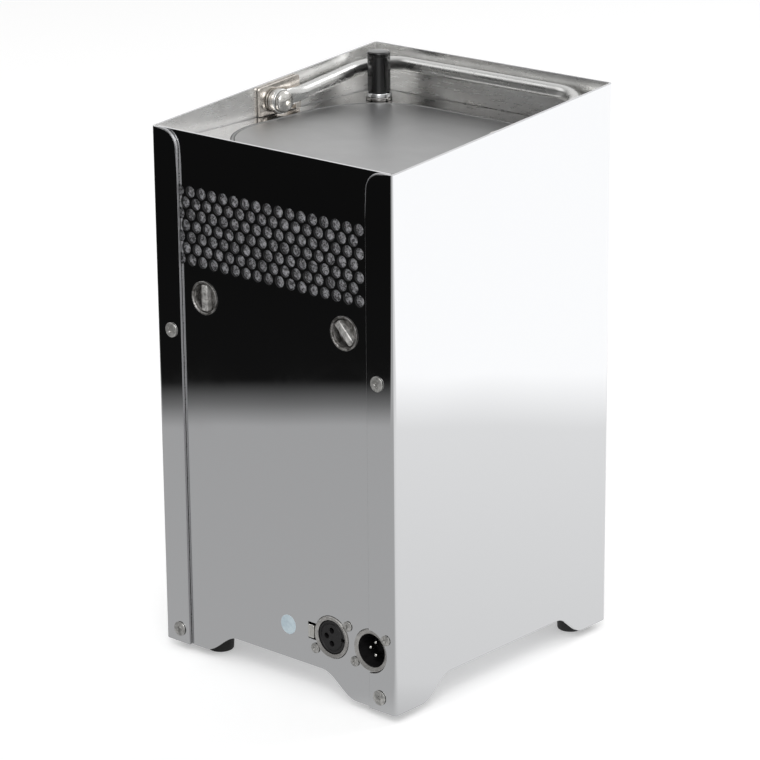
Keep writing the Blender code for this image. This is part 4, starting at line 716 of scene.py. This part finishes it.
def makeGauze():
    # woven wire cloth: two crossed waves of wire, dusty here and there
    finish = Finish("ventGauze", (0.30, 0.30, 0.31), 0.55, 0.2).cloud(640, 0.42, 0.60)
    finish.tint((0.08, 0.08, 0.083), (0.66, 0.66, 0.69))
    for turn in (45, -45):
        crossed = addNode(finish.tree, "Mapping", Vector=finish.where, Rotation=(0, radians(turn), 0))
        finish.height = addNode(finish.tree, "TexWave", Vector=crossed.outputs["Vector"],
                                Scale=gauze["wires"]).outputs["Fac"]
        finish.bump(gauze["wireHeight"])
    xs, zs = zip(*ventPlaces())
    reach = panel["ventRadius"] + gauze["margin"]
    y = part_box("front_panel")[0].y + panel["sheet"] + gauze["behind"]
    back = y + gauze["thickness"]
    sheet = brick((min(xs) - reach, y, min(zs) - reach), (max(xs) + reach, back, max(zs) + reach))
    keep("vent_gauze", sheet, finish, "inner_sheet")


disc = inMm(x=7.3, z=37, radius=5.6, thickness=0.12)


def makeLabel():
    edge, radius = disc["thickness"], disc["radius"]
    profile = [(0, edge), (radius - edge, edge), (radius, 0), (0, 0)]
    at = frontAt(disc["x"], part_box("front_panel")[0].y, disc["z"])
    keep("pale_label", spun(profile, at), pale, "polished_steel")


# Screws

def screwNodes(kind, *sides):
    return ["%s_screw_%s_%s" % (kind, side, level) for side in sides for level in ("low", "high")]


flangeScrews, socketScrews = screwNodes("flange", "left", "right"), screwNodes("socket", "female", "male")
screw = dict(inMm(headRadius=4.2, head=0.9, edge=0.35, seat=1.9, shank=1.9, length=9, slot=1.1,
                  slotLength=4.6, slotDepth=0.8), turns=(12, 51, 77, 24))
smallScrew = dict(inMm(headRadius=2.9, head=0.8, edge=0.3, seat=1.4, shank=1.4, slot=0.8, slotLength=3.4,
                       slotDepth=0.6), turns=(33, 8, 62, 40))
crossTaper = 0.45   # the cross recess's arms narrow to this share at its floor


def makeScrew(node, sizes, turn):
    # domed head with a cross recess
    low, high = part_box(node)
    at = frontAt((low.x + high.x) / 2, low.y + sizes["seat"], (low.z + high.z) / 2)
    body = headed(sizes, sizes.get("length", high.y - low.y - sizes["seat"]), at, 40)
    half, wide, head = sizes["slotLength"] / 2, sizes["slot"] / 2, sizes["head"]
    top = head + mm
    for quarter in (0, 90):
        arm = brick((-half, -wide, head - sizes["slotDepth"]), (half, wide, top))
        for vert in arm.verts:
            if vert.co.z < top - casing["near"]:
                vert.co.x *= crossTaper
        body = cutOut(body, placed(arm, at @ turned(turn, "Z") @ turned(quarter, "Z")))
    keep(node.replace("_screw", "_pan_screw"), body, plated, "plated_screw", node, smooth=30)


def makeScrews():
    for nodes, sizes in ((flangeScrews, screw), (socketScrews, smallScrew)):
        for node, turn in zip(nodes, sizes["turns"]):
            makeScrew(node, sizes, turn)


# Quarter-turn locks

lock = dict(inMm(rimRadius=9.5, rim=0.5, rimRound=0.35, body=8.8, depth=6, wall=0.6, disc=6.9,
                 discThickness=1.6, floor=1, bar=4.4, stem=2.6, bore=3, gap=0.3, wing=7.5, wingEdge=0.9,
                 camLength=20, camWidth=8, cam=2.5, camEdge=0.5), turns=dict(left=90, right=135))


def makeLocks():
    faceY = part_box("front_panel")[0].y
    for side, turn in lock["turns"].items():
        spot = middle("lock_cup_" + side)
        at = frontAt(spot.x, faceY, spot.z)
        gap, depth, body = lock["gap"], lock["depth"], lock["body"]
        bore, discEdge = lock["bore"], lock["disc"]
        top, base, seat = gap + lock["rim"], lock["floor"] - depth, body - lock["wall"]
        lip = rounded(lock["rimRadius"], top, lock["rimRound"], 4)
        cup = [(bore, -depth), (body, -depth), (body, gap), (lock["rimRadius"], gap), *reversed(lip),
               (seat + 0.5 * mm, top), (seat + 0.1 * mm, top - 0.5 * mm), (seat, top - 1.6 * mm),
               (discEdge + 1.1 * mm, top - 1.9 * mm), (discEdge + mm, base + 0.5 * mm),
               (discEdge + 0.6 * mm, base), (bore, base), (bore, -depth)]
        keep("lock_bezel_" + side, spun(cup, at, 64), cast, "polished_steel", "lock_cup_" + side, smooth=30)

        discLow = base + gap
        discTop = discLow + lock["discThickness"]
        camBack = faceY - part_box("lock_rotor_" + side)[1].y
        camFront, stem = camBack + lock["cam"], camBack + lock["cam"] / 2
        knob = spun([(0, discTop - 0.3 * mm), (2 * mm, discTop - 0.2 * mm), (discEdge - 0.9 * mm, discTop),
                     (discEdge - 0.3 * mm, discTop - 0.2 * mm), (discEdge, discTop - 0.6 * mm),
                     (discEdge, discLow), (lock["stem"], discLow), (lock["stem"], stem), (0, stem)], steps=64)
        wing, bar = lock["wing"], lock["bar"] / 2
        low, high = (-wing, -bar, discTop - 0.8 * mm), (wing, bar, top - gap)
        knob = fused(knob, brick(low, high, edge=lock["wingEdge"], segments=5))
        camX, camY = lock["camLength"] / 2, lock["camWidth"] / 2
        knob = fused(knob, brick((-camX, -camY, camBack), (camX, camY, camFront), edge=lock["camEdge"]))
        # the wing bar takes the lighter finish: a painted highlight
        for face in knob.faces:
            if face.calc_center_median().z > discTop + 0.1 * mm:
                face.material_index = 1
        keep("lock_knob_" + side, placed(knob, at @ turned(turn, "Z")), cast, "polished_steel",
             "lock_rotor_" + side, body="lock_" + side, smooth=35, more=[barHighlight])


# Round sockets

socket = inMm(barrel=12, femaleBore=9.8, maleBore=9.6, femaleFunnel=0.8, maleFunnel=1, proud=1, depth=22,
              cavity=17, panel=1.5, flange=2, flangeCorner=3, halfX=14.2, halfZ=13, screwX=12, screwZ=9.5,
              hole=1.7, pinCircle=3.8, pin=1.1, pinTip=3.6, contact=1.7, contactDepth=14, insertFloor=3,
              keyHalf=0.9, latchReach=16.6, latchInner=12.4, latchHalf=3.8, latchProud=1.2, latchLength=10,
              latchPlay=0.4, gap=0.3)


def socketCentre():
    # the female barrel's middle: its insert is round, so its box gives the centre
    spot = middle("female_insert")
    return spot.x, spot.z


def barrel(x, z, faceY, kind, notched):
    at = frontAt(x, faceY, z)
    face, outer = socket["proud"], socket["barrel"]
    bore, funnel = socket[kind + "Bore"], socket[kind + "Funnel"]
    lip, cavity, flange = (outer - bore) * 0.8, socket["cavity"], socket["flange"]
    profile = [(0, face - cavity), (bore, face - cavity), (bore, face - funnel),
               (bore + lip * 0.8, face - 0.15 * mm), (bore + lip, face), (outer - 0.2 * mm, face - 0.1 * mm),
               (outer, face - 0.5 * mm), (outer, -socket["depth"]), (0, -socket["depth"])]
    back = -socket["panel"] - socket["gap"]
    outline = softRectangle(socket["halfX"], socket["halfZ"], socket["flangeCorner"], steps=5)
    plate = slab(outline, flange, at @ move(0, 0, back - flange))
    plate = cutOut(plate, drill((bore + outer) / 2, 4 * flange, at @ move(0, 0, back), 64))
    body = fused(spun(profile, at, 64), plate)
    screwX, screwZ = socket["screwX"], socket["screwZ"]
    holes = [drill(socket["hole"], 4 * flange, at @ move(side * screwX, side * screwZ, back), 20)
             for side in (-1, 1)]
    body = cutOut(body, shape(*holes))
    if notched:
        reach, half = socket["latchReach"] + socket["latchPlay"], socket["latchHalf"] + socket["latchPlay"]
        slot = brick((-reach, -half, back - 2 * flange), (-outer - 0.1 * mm, half, back + flange), at)
        body = cutOut(body, slot)
    for wall in body.faces:
        spot = wall.calc_center_median()
        if Vector((spot.x - x, spot.z - z)).length < bore and spot.y > faceY - face + funnel:
            wall.material_index = 1
    return body


def pinSpots(at):
    reach = socket["pinCircle"]
    return [at @ move(x, z, 0) for x, z in ((0, reach), (0, -reach), (-reach, 0))]


def makeSockets():
    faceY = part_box("front_panel")[0].y
    femaleX, z = socketCentre()
    maleX = middle("male_insert").x
    gap = socket["gap"]
    keep("female_barrel", barrel(femaleX, z, faceY, "female", True), nickel, "socket_metal", "socket_female",
         smooth=30, more=[socketBlack])
    at = frontAt(femaleX, faceY, z)
    low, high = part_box("female_insert")
    top, bottom, radius = faceY - low.y, faceY - high.y, socket["femaleBore"] - gap
    sunk = top - 0.35 * mm
    profile = [(0, top), (radius - 2.2 * mm, top), (radius - 2.0 * mm, sunk), (radius - 1.5 * mm, sunk),
               (radius - 1.3 * mm, top), (radius - 0.3 * mm, top), (radius, top - 0.3 * mm), (radius, bottom),
               (0, bottom)]
    deep, half = socket["contactDepth"], socket["keyHalf"]
    holes = [drill(socket["contact"], deep, spot @ move(0, 0, top - deep / 2 + mm), 24)
             for spot in pinSpots(at)]
    insert = cutOut(spun(profile, at, 64), shape(*holes))
    keyway = brick((radius - 2.6 * mm, -half, top - 3 * mm), (radius + mm, half, top + mm), at)
    keep("female_contact_block", cutOut(insert, keyway), socketBlack, "socket_insert", "female_insert",
         smooth=30)

    keep("male_barrel", barrel(maleX, z, faceY, "male", False), nickel, "socket_metal", "socket_male",
         smooth=30, more=[socketBlack])
    at = frontAt(maleX, faceY, z)
    floor, radius = socket["proud"] - socket["cavity"] + gap, socket["maleBore"] - gap
    rise = floor + socket["insertFloor"]
    block = [(0, rise), (radius - 0.4 * mm, rise), (radius, rise - 0.4 * mm), (radius, floor), (0, floor)]
    keep("male_contact_block", spun(block, at), socketBlack, "socket_insert", "male_insert", smooth=30)
    pin, foot = socket["pin"], rise - 0.1 * mm
    profile = [*rounded(pin, socket["proud"] - socket["pinTip"], pin, 5), (pin, foot), (0, foot)]
    pins = shape(*[spun(profile, spot, 20) for spot in pinSpots(at)])
    keep("male_contact_pins", pins, bright, "socket_insert", smooth=35)

    half, reach, front = socket["latchHalf"], socket["latchReach"], socket["latchProud"]
    latch = brick((-reach, -half, front - socket["latchLength"]), (-socket["latchInner"], half, front),
                  edge=0.5 * mm, segments=4)
    for k in range(3):
        x = -reach + 1.4 * mm + k * mm
        low, high = (x, -half + mm, front - 0.5 * mm), (x + 0.45 * mm, half - mm, front + 0.18 * mm)
        latch = fused(latch, brick(low, high, edge=0.1 * mm, segments=2))
    keep("latch_tab", placed(latch, frontAt(femaleX, faceY, z)), bright, "socket_metal", "socket_latch",
         body="latch", smooth=35)


# Tray, window, handle and antenna

tray = inMm(sheet=1.2, bend=1.2, edge=0.15, holeRadius=3.4)
window = inMm(corner=48, seal=1.6, gap=0.3, chamfer=0.4, sealEdge=0.35)


def windowOutline(inset):
    # the window's rounded outline, read from its glass
    low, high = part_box("window_glass")
    return softRectangle((high.x - low.x) / 2 + inset, (high.y - low.y) / 2 + inset, window["corner"] + inset,
                         ((low.x + high.x) / 2, (low.y + high.y) / 2), 16)


def makeTray():
    low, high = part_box("tray_floor")
    sheet = tray["sheet"]
    path = [(high.x, low.z), (high.x, high.z), (low.x, high.z), (low.x, low.z)]
    bm = folded([(x, low.y, z) for x, z in path], (0, high.y - low.y, 0), tray["bend"], 5, Vector((0, 0, 1)))
    outline = windowOutline(window["seal"] + 2 * window["gap"])
    bm = cutOut(thickened(bm, sheet), slab(outline, 5 * sheet, move(0, 0, high.z - 3 * sheet)))
    mast = drill(tray["holeRadius"], 6 * sheet, upright("antenna_nut", high.z))
    bm = broken(cutOut(bm, mast), tray["edge"])
    # the folds and turned-down sides take the rougher, darker edge finish: painted shade along the bends
    for face in bm.faces:
        if abs(face.normal.x) > 0.15:
            face.material_index = 1
    keep("tray_deck", bm, deck, "polished_steel", "tray_floor", flatWalls=True, more=[dull])


def makeWindow():
    low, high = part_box("window_glass")
    pane = slab(windowOutline(0), high.z - low.z, move(0, 0, low.z))
    keep("window_pane", broken(pane, window["chamfer"]), glass, "window_glass", "window_glass",
         flatWalls=True)
    low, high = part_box("window_gasket")
    height = high.z - low.z
    outer = slab(windowOutline(window["gap"] + window["seal"]), height, move(0, 0, low.z))
    inner = slab(windowOutline(window["gap"]), 3 * height, move(0, 0, low.z - height))
    keep("window_seal", broken(cutOut(outer, inner), window["sealEdge"], segments=3), silicone, "seal_rubber",
         "window_gasket")


bracket = inMm(sheet=2, corner=1.6, hole=3.3, edge=0.3, lug=4, lugEdge=0.5, lugOut=15.2, lugGap=0.3)
handle = dict(inMm(rod=8.5, bend=24, armX=79, start=2, eyeX=79.8, eye=7.2, eyeThickness=4, eyeEdge=0.6,
                   bore=3.4, flatFrom=7, flatTo=17),
              slope=7.4, sides=32, bendSteps=16, runSteps=30, spread=1.25)


def lugPlace(side):
    # the rest under the arm: the bracket's solid reaches in only there
    low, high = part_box("handle_bracket_" + side)
    pivot, slope, size = pivots["handle_hinge"], radians(handle["slope"]), bracket["lug"]
    y = pivot.y + bracket["lugOut"]
    top = (pivot.z + bracket["lugOut"] * sin(slope) - (handle["rod"] / 2 + bracket["lugGap"]) / cos(slope)
           - size / 2 * sin(slope))
    inner, outer = (high.x, low.x + mm) if side == "left" else (low.x, high.x - mm)
    return (min(inner, outer), y - size / 2, top - size), (max(inner, outer), y + size / 2, top)


def makeBrackets():
    pivot = pivots["handle_hinge"]
    shellLow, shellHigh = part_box("outer_shell")
    slope = casing["rearRise"] / (shellHigh.y - shellLow.y)
    sheet, corner = bracket["sheet"], bracket["corner"]
    for side in ("left", "right"):
        low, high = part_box("handle_bracket_" + side)
        wallX = low.x if side == "left" else high.x - sheet
        front = high.z - slope * (high.y - low.y)   # the plate's top edge follows the rim
        outline = [(low.y, low.z), (high.y, low.z), (high.y, high.z - corner),
                   (high.y - corner * 0.3, high.z - corner * 0.3), (high.y - corner, high.z - slope * corner),
                   (low.y + corner, front + slope * corner), (low.y + corner * 0.3, front - corner * 0.3),
                   (low.y, front - corner)]
        plate = slab(outline, sheet, Matrix(((0, 0, 1, wallX), (1, 0, 0, 0), (0, 1, 0, 0), (0, 0, 0, 1))))
        hole = drill(bracket["hole"], 6 * sheet, move(wallX, pivot.y, pivot.z) @ turned(90, "Y"))
        plate = broken(cutOut(plate, hole), bracket["edge"])
        lug = brick(*lugPlace(side), edge=bracket["lugEdge"])
        keep("bracket_plate_" + side, fused(plate, lug), bracketSteel, "polished_steel",
             "handle_bracket_" + side, flatWalls=True)


def sweptRod(route, radius, sides):
    # a round bar along a route in the XY plane
    bm = bmesh.new()
    points = [Vector((x, y, 0)) for x, y in route]
    circle = [(cos(2 * pi * n / sides), Vector((0, 0, sin(2 * pi * n / sides)))) for n in range(sides)]
    rings = []
    for k, point in enumerate(points):
        along = (points[min(k + 1, len(points) - 1)] - points[max(k - 1, 0)]).normalized()
        across = Vector((along.y, -along.x, 0))
        rings.append([bm.verts.new(point + radius * (across * aside + up)) for aside, up in circle])
    for first, second in zip(rings, rings[1:]):
        for n in range(sides):
            m = (n + 1) % sides
            bm.faces.new((first[n], first[m], second[m], second[n]))
    bm.faces.new(rings[0])
    bm.faces.new(list(reversed(rings[-1])))
    bmesh.ops.recalc_face_normals(bm, faces=bm.faces)
    return bm


def makeHandle():
    pivot, slope, radius = pivots["handle_hinge"], radians(handle["slope"]), handle["rod"] / 2
    reach = (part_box("carry_handle")[1].y - pivot.y - radius) / cos(slope)
    bend, arm, start, runSteps = handle["bend"], handle["armX"], handle["start"], handle["runSteps"]
    right = [(arm, start + (reach - bend - start) * k / runSteps) for k in range(runSteps)]
    for out, across in arc(handle["bendSteps"]):
        right.append((arm - bend + bend * across, reach - bend + bend * out))
    bm = sweptRod(right + [(-x, y) for x, y in reversed(right)], radius, handle["sides"])
    # the rod flattens towards its eyes
    for vert in bm.verts:
        share = min(max((vert.co.y - handle["flatFrom"]) / (handle["flatTo"] - handle["flatFrom"]), 0), 1)
        if share == 1:
            continue
        ease = share * share * (3 - 2 * share)
        side = 1 if vert.co.x > 0 else -1
        flatX = handle["eyeX"] + (abs(vert.co.x) - arm) * handle["eyeThickness"] / handle["rod"]
        vert.co.x = side * (flatX * (1 - ease) + abs(vert.co.x) * ease)
        vert.co.z *= handle["spread"] * (1 - ease) + ease
    for side in (-1, 1):
        at = move(side * handle["eyeX"], 0, 0) @ turned(90, "Y")
        bm = fused(bm, bevelSharp(drill(handle["eye"], handle["eyeThickness"], at, 48), handle["eyeEdge"], 3))
        bm = cutOut(bm, drill(handle["bore"], 4 * handle["eyeThickness"], at))
    place = Matrix.Translation(pivot) @ turned(handle["slope"], "X")
    keep("folding_handle", placed(bm, place), rodSteel, "handle_steel", "carry_handle", body="handle",
         smooth=35)


bolt = inMm(headRadius=6.3, head=4, edge=1.1, shank=3, hexRadius=2.3, hexDepth=2, washerBore=3.3,
            washerEdge=0.2)


def makeHandleHardware():
    pivot, head = pivots["handle_hinge"], bolt["head"]
    for side, sign in (("left", -1), ("right", 1)):
        low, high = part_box("handle_bolt_" + side)
        # the head looks into the tray, its shank out through the wall
        near, far = sorted((abs(low.x), abs(high.x)))
        seat = move(sign * (near + head), pivot.y, pivot.z) @ turned(-90 * sign, "Y")
        hexagon = drill(bolt["hexRadius"], 2 * bolt["hexDepth"], seat @ move(0, 0, head), 6)
        body = cutOut(headed(bolt, far - near - head, seat, domeSteps=10), hexagon)
        keep("pivot_bolt_" + side, body, boltSteel, "handle_steel", "handle_bolt_" + side, smooth=30)
        low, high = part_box("handle_washer_" + side)
        outer, inner, edge, top = (high.z - low.z) / 2, bolt["washerBore"], bolt["washerEdge"], high.x - low.x
        washer = [(inner, edge), (inner, top - edge), (inner + edge, top), (outer - edge, top),
                  (outer, top - edge), (outer, edge), (outer - edge, 0), (inner + edge, 0), (inner, edge)]
        washer = spun(washer, move(low.x, pivot.y, pivot.z) @ turned(90, "Y"), 40)
        keep("pivot_washer_" + side, washer, plated, "plated_screw", "handle_washer_" + side, smooth=30)


antenna = inMm(round=1.1, groove=2.6, grooveHalf=0.2, grooveDepth=0.18, hollow=3.4, footHeight=0.4,
               footIn=0.3, nutRound=0.7, ring=2.2, ringRadius=7.3, ringGap=0.05, collarRadius=7.6)


def makeAntenna():
    low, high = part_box("antenna_body")
    centre, radius, height = (low + high) / 2, (high.x - low.x) / 2, high.z - low.z
    groove, half, hollow = height - antenna["groove"], antenna["grooveHalf"], antenna["hollow"]
    profile = [(0, height), *rounded(radius, height, antenna["round"], 6), (radius, groove + half),
               (radius - antenna["grooveDepth"], groove), (radius, groove - half),
               (radius, antenna["footHeight"]), (radius - antenna["footIn"], 0), (hollow, 0),
               (hollow, height / 3), (0, height / 3)]
    cover = spun(profile, move(centre.x, centre.y, low.z), 64)
    keep("antenna_cover", cover, gloss, "antenna_rubber", "antenna_body", smooth=30)
    low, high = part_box("antenna_nut")
    at = move(centre.x, centre.y, low.z)
    radius, height, turn = antenna["collarRadius"], high.z - low.z, antenna["nutRound"]
    step = height - antenna["ring"]
    collar = [(hollow, step), (radius - turn, step), (radius, step - turn), (radius, 0), (hollow, 0),
              (hollow, step)]
    # the collar's dark finish is painted shade under the bright ring above it
    keep("antenna_collar", spun(collar, at, 64), shadedCollarSteel, "polished_steel", "antenna_nut", smooth=30)
    radius, seat = antenna["ringRadius"], step + antenna["ringGap"]
    lip = [(hollow, height), *rounded(radius, height, turn, 5), (radius, seat), (hollow, seat),
           (hollow, height)]
    keep("antenna_ring", spun(lip, at, 64), steel, "polished_steel", smooth=30)


# Light engine under the window

lens = dict(inMm(pitch=42, radius=18.5, foot=7, holder=0.4, board=1.6, package=4, packageTop=0.8),
            rows=3, steps=8)


def engineSpots(z):
    centre, reach, pitch = middle("lens_array"), (lens["rows"] - 1) / 2, lens["pitch"]
    return [move(centre.x + (column - reach) * pitch, centre.y + (row - reach) * pitch, z)
            for row in range(lens["rows"]) for column in range(lens["rows"])]


def makeLightEngine():
    low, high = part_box("lens_array")
    height, radius, foot, steps = high.z - low.z, lens["radius"], lens["foot"], lens["steps"]
    flare = [(foot + (radius - 0.6 * mm - foot) * (k / steps) ** 0.7, height * 0.82 * k / steps)
             for k in range(steps + 1)]
    profile = [(0, 2.2 * mm), (3 * mm, 1.6 * mm), (4.6 * mm, 0), *flare,
               (radius - 0.4 * mm, height - 0.6 * mm), (6.5 * mm, height - 0.6 * mm),
               (4.5 * mm, height - 1.4 * mm), (2 * mm, height - 0.7 * mm), (0, height - 0.5 * mm)]
    lenses = shape(*[spun(profile, spot, 40) for spot in engineSpots(low.z)])
    keep("collimator_lenses", lenses, clear, "lens", "lens_array", smooth=30)
    plate = brick((low.x, low.y, high.z - lens["holder"]), high)
    holes = [drill(radius - 0.5 * mm, 4 * mm, spot, 40) for spot in engineSpots(high.z)]
    keep("lens_holder", broken(cutOut(plate, shape(*holes)), 0.1 * mm), black, "black_plastic")
    low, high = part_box("led_board")
    top, half = high.z - lens["board"], lens["package"]
    board = brick(low, (high.x, high.y, top), edge=0.2 * mm)
    keep("led_circuit", board, whiteMask, "led_board", "led_board")
    domed = [(0, 1.55 * mm), (1.2 * mm, 1.4 * mm), (2.2 * mm, 1.1 * mm), (2.8 * mm, 0.82 * mm),
             (0, 0.82 * mm)]
    bodies = [brick((-half, -half, 0.02 * mm), (half, half, lens["packageTop"]), spot, 0.3 * mm)
              for spot in engineSpots(top)]
    keep("led_packages", shape(*bodies), black, "led_board")
    keep("led_domes", shape(*[spun(domed, spot, 24) for spot in engineSpots(top)]), phosphor, "led_board")


# Underside

under = dict(inMm(sheet=1.6, bend=1.6, lip=10, edge=0.2, gap=0.3, keyHole=3.9, studHole=2.8,
                  studDepth=14, jackHole=5.8,
                  displayX=46, displayY=18, displayCorner=1.5, frame=1.5, pocket=3.5, through=8),
             corners=("front_left", "front_right", "rear_left", "rear_right"), keys=range(1, 5))
footSizes = inMm(taper=0.8, tread=1.2, hollow=0.6, hollowRadius=2.4, hollowEdge=2.8, stud=2.5, shoulder=0.5)
keySizes = inMm(face=3.5, round=0.8, dish=0.25, collar=0.8, stem=1.75)
rocker = dict(inMm(halfX=4.6, halfY=6.7, below=2.1, above=1.8, edge=0.6), tilt=8)
jack = inMm(rim=1.8, bore=2.8, mouth=3.1, rimRadius=7, neck=5.5, floor=10)


def makeBasePlate():
    low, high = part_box("bottom_plate")
    sheet, through = under["sheet"], under["through"]
    path = [(low.x, low.z + under["lip"]), (low.x, low.z), (high.x, low.z), (high.x, low.z + under["lip"])]
    bm = folded([(x, low.y, z) for x, z in path], (0, high.y - low.y, 0), under["bend"], 5,
                Vector((0, 0, -1)))
    holes, nuts = [], []
    for corner in under["corners"]:
        nuts.append(nut(upright("foot_" + corner, low.z + pressNut["seat"] * sheet)))
        holes.append(drill(under["studHole"], under["studDepth"], upright("foot_" + corner, low.z), 24))
    for k in under["keys"]:
        holes.append(drill(under["keyHole"], through, upright("menu_button_%d" % k, low.z)))
    spot = middle("display_window")
    holes.append(slab(softRectangle(under["displayX"] / 2, under["displayY"] / 2, under["displayCorner"],
                                    (spot.x, spot.y), 4), through, move(0, 0, low.z - through / 2)))
    frameLow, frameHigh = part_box("rocker_frame")
    rim = under["frame"] - under["gap"]
    holes.append(brick((frameLow.x + rim, frameLow.y + rim, low.z - through / 2),
                       (frameHigh.x - rim, frameHigh.y - rim, low.z + through / 2)))
    holes.append(drill(under["jackHole"], through, upright("charge_socket", low.z), 40))
    bm = cutOut(fused(thickened(bm, sheet), shape(*nuts)), shape(*holes))
    keep("base_plate", broken(bm, under["edge"]), zinc, "inner_sheet", "bottom_plate", flatWalls=True)


def makeFeet(plateZ):
    turn, stud, hollow = footSizes["tread"], footSizes["stud"], footSizes["hollow"]
    for corner in under["corners"]:
        low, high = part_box("foot_" + corner)
        top, wide = plateZ - under["gap"], (high.x - low.x) / 2
        profile = [(0, hollow), (footSizes["hollowRadius"], hollow), (footSizes["hollowEdge"], 0),
                   *rounded(wide - footSizes["taper"], 0, turn, 5, -1), (wide, top - 0.8 * mm),
                   (wide - footSizes["shoulder"], top), (stud, top), (stud, high.z), (0, high.z)]
        foot = spun(profile, upright("foot_" + corner, 0), 40)
        keep("rubber_foot_" + corner, foot, rubber, "foot_rubber", "foot_" + corner, smooth=30)


def makeKeys(plateZ):
    face, stem, shelf = keySizes["face"], keySizes["stem"], plateZ + under["sheet"] + under["gap"]
    for k in under["keys"]:
        node = "menu_button_%d" % k
        low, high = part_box(node)
        wide, base, top = (high.x - low.x) / 2, low.z, shelf + keySizes["collar"]
        profile = [(0, base + keySizes["dish"]), (1.4 * mm, base + 0.12 * mm),
                   *rounded(face, base, keySizes["round"], 4, -1), (face, shelf), (wide, shelf), (wide, top),
                   (stem, top), (stem, high.z), (0, high.z)]
        keep("soft_key_%d" % k, spun(profile, upright(node, 0), 32), rubber, "button_rubber", node,
             body="button_%d" % k, smooth=30)


def makeControls(plateZ):
    keep("display_pane", brick(*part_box("display_window"), edge=0.3 * mm), gloss, "display", "display_window")
    low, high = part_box("rocker_frame")
    rim = Vector((under["frame"], under["frame"], 0))
    wall = Vector((under["pocket"], under["pocket"], 0))
    sunk = Vector((0, 0, 2 * mm))
    body = fused(brick(low + rim, high - rim, edge=0.3 * mm),
                 brick(low, (high.x, high.y, plateZ - under["gap"]), edge=0.5 * mm))
    pocket = brick(low + wall - sunk, high - wall - sunk)
    keep("rocker_surround", broken(cutOut(body, pocket), 0.15 * mm), black, "black_plastic", "rocker_frame")
    paddle = brick((-rocker["halfX"], -rocker["halfY"], -rocker["below"]),
                   (rocker["halfX"], rocker["halfY"], rocker["above"]), edge=rocker["edge"], segments=4)
    tilted = Matrix.Translation(pivots["rocker_tilt"]) @ turned(rocker["tilt"], "X")
    keep("rocker_paddle", placed(paddle, tilted), gloss, "black_plastic", "power_rocker", body="rocker")

    flip = upright("charge_socket", plateZ) @ turned(180, "X")
    rimZ, bore, outer, neck = jack["rim"], jack["bore"], jack["rimRadius"], jack["neck"]
    depth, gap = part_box("charge_socket")[1].z - plateZ, under["gap"]
    profile = [(0, -jack["floor"]), (bore, -jack["floor"]), (bore, rimZ - 0.3 * mm), (jack["mouth"], rimZ),
               (outer - 0.4 * mm, rimZ), (outer, rimZ - 0.4 * mm), (outer, gap), (neck, gap), (neck, -depth),
               (0, -depth)]
    keep("charge_jack", spun(profile, flip), black, "black_plastic", "charge_socket", smooth=30)
    pin = [(0, -1 * mm), (0.6 * mm, -1.1 * mm), (mm, -1.6 * mm), (mm, -9.9 * mm), (0, -9.9 * mm)]
    keep("charge_pin", spun(pin, flip, 24), bright, "brass", smooth=30)


# Nodes that stay as the frame made them get their own finishes

frameFinishes = dict(
    inner_shelf=zinc, window_clamp=zinc, battery_cradle=zinc, battery_strap=zinc, heat_sink=aluminium,
    radio_module=aluminium, antenna_socket=brass, antenna_lead=jacket, led_lead=jacket, battery_lead=jacket,
    signal_lead=jacket, battery_pack=wrap, driver_board=greenMask, control_board=greenMask)


def dressFrameNodes():
    for node, finish in frameFinishes.items():
        materials = frame["nodes"][node].data.materials
        materials.clear()
        materials.append(finish.material)


makeCamera()
for lamp in lamps:
    makeLamp(**lamp)
makeWorld()
makeFloor()
print("studio ready")
makeCasing()
makePanel()
makeGauze()
makeLabel()
print("casing and panel ready")
makeScrews()
makeLocks()
makeSockets()
print("screws, locks and sockets ready")
makeTray()
makeWindow()
makeBrackets()
makeHandle()
makeHandleHardware()
makeAntenna()
print("tray, handle and antenna ready")
makeLightEngine()
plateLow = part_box("bottom_plate")[0].z
makeBasePlate()
makeFeet(plateLow)
makeKeys(plateLow)
makeControls(plateLow)
dressFrameNodes()
print("inside and underside ready")

bpy.context.scene.view_settings.view_transform = "Standard"
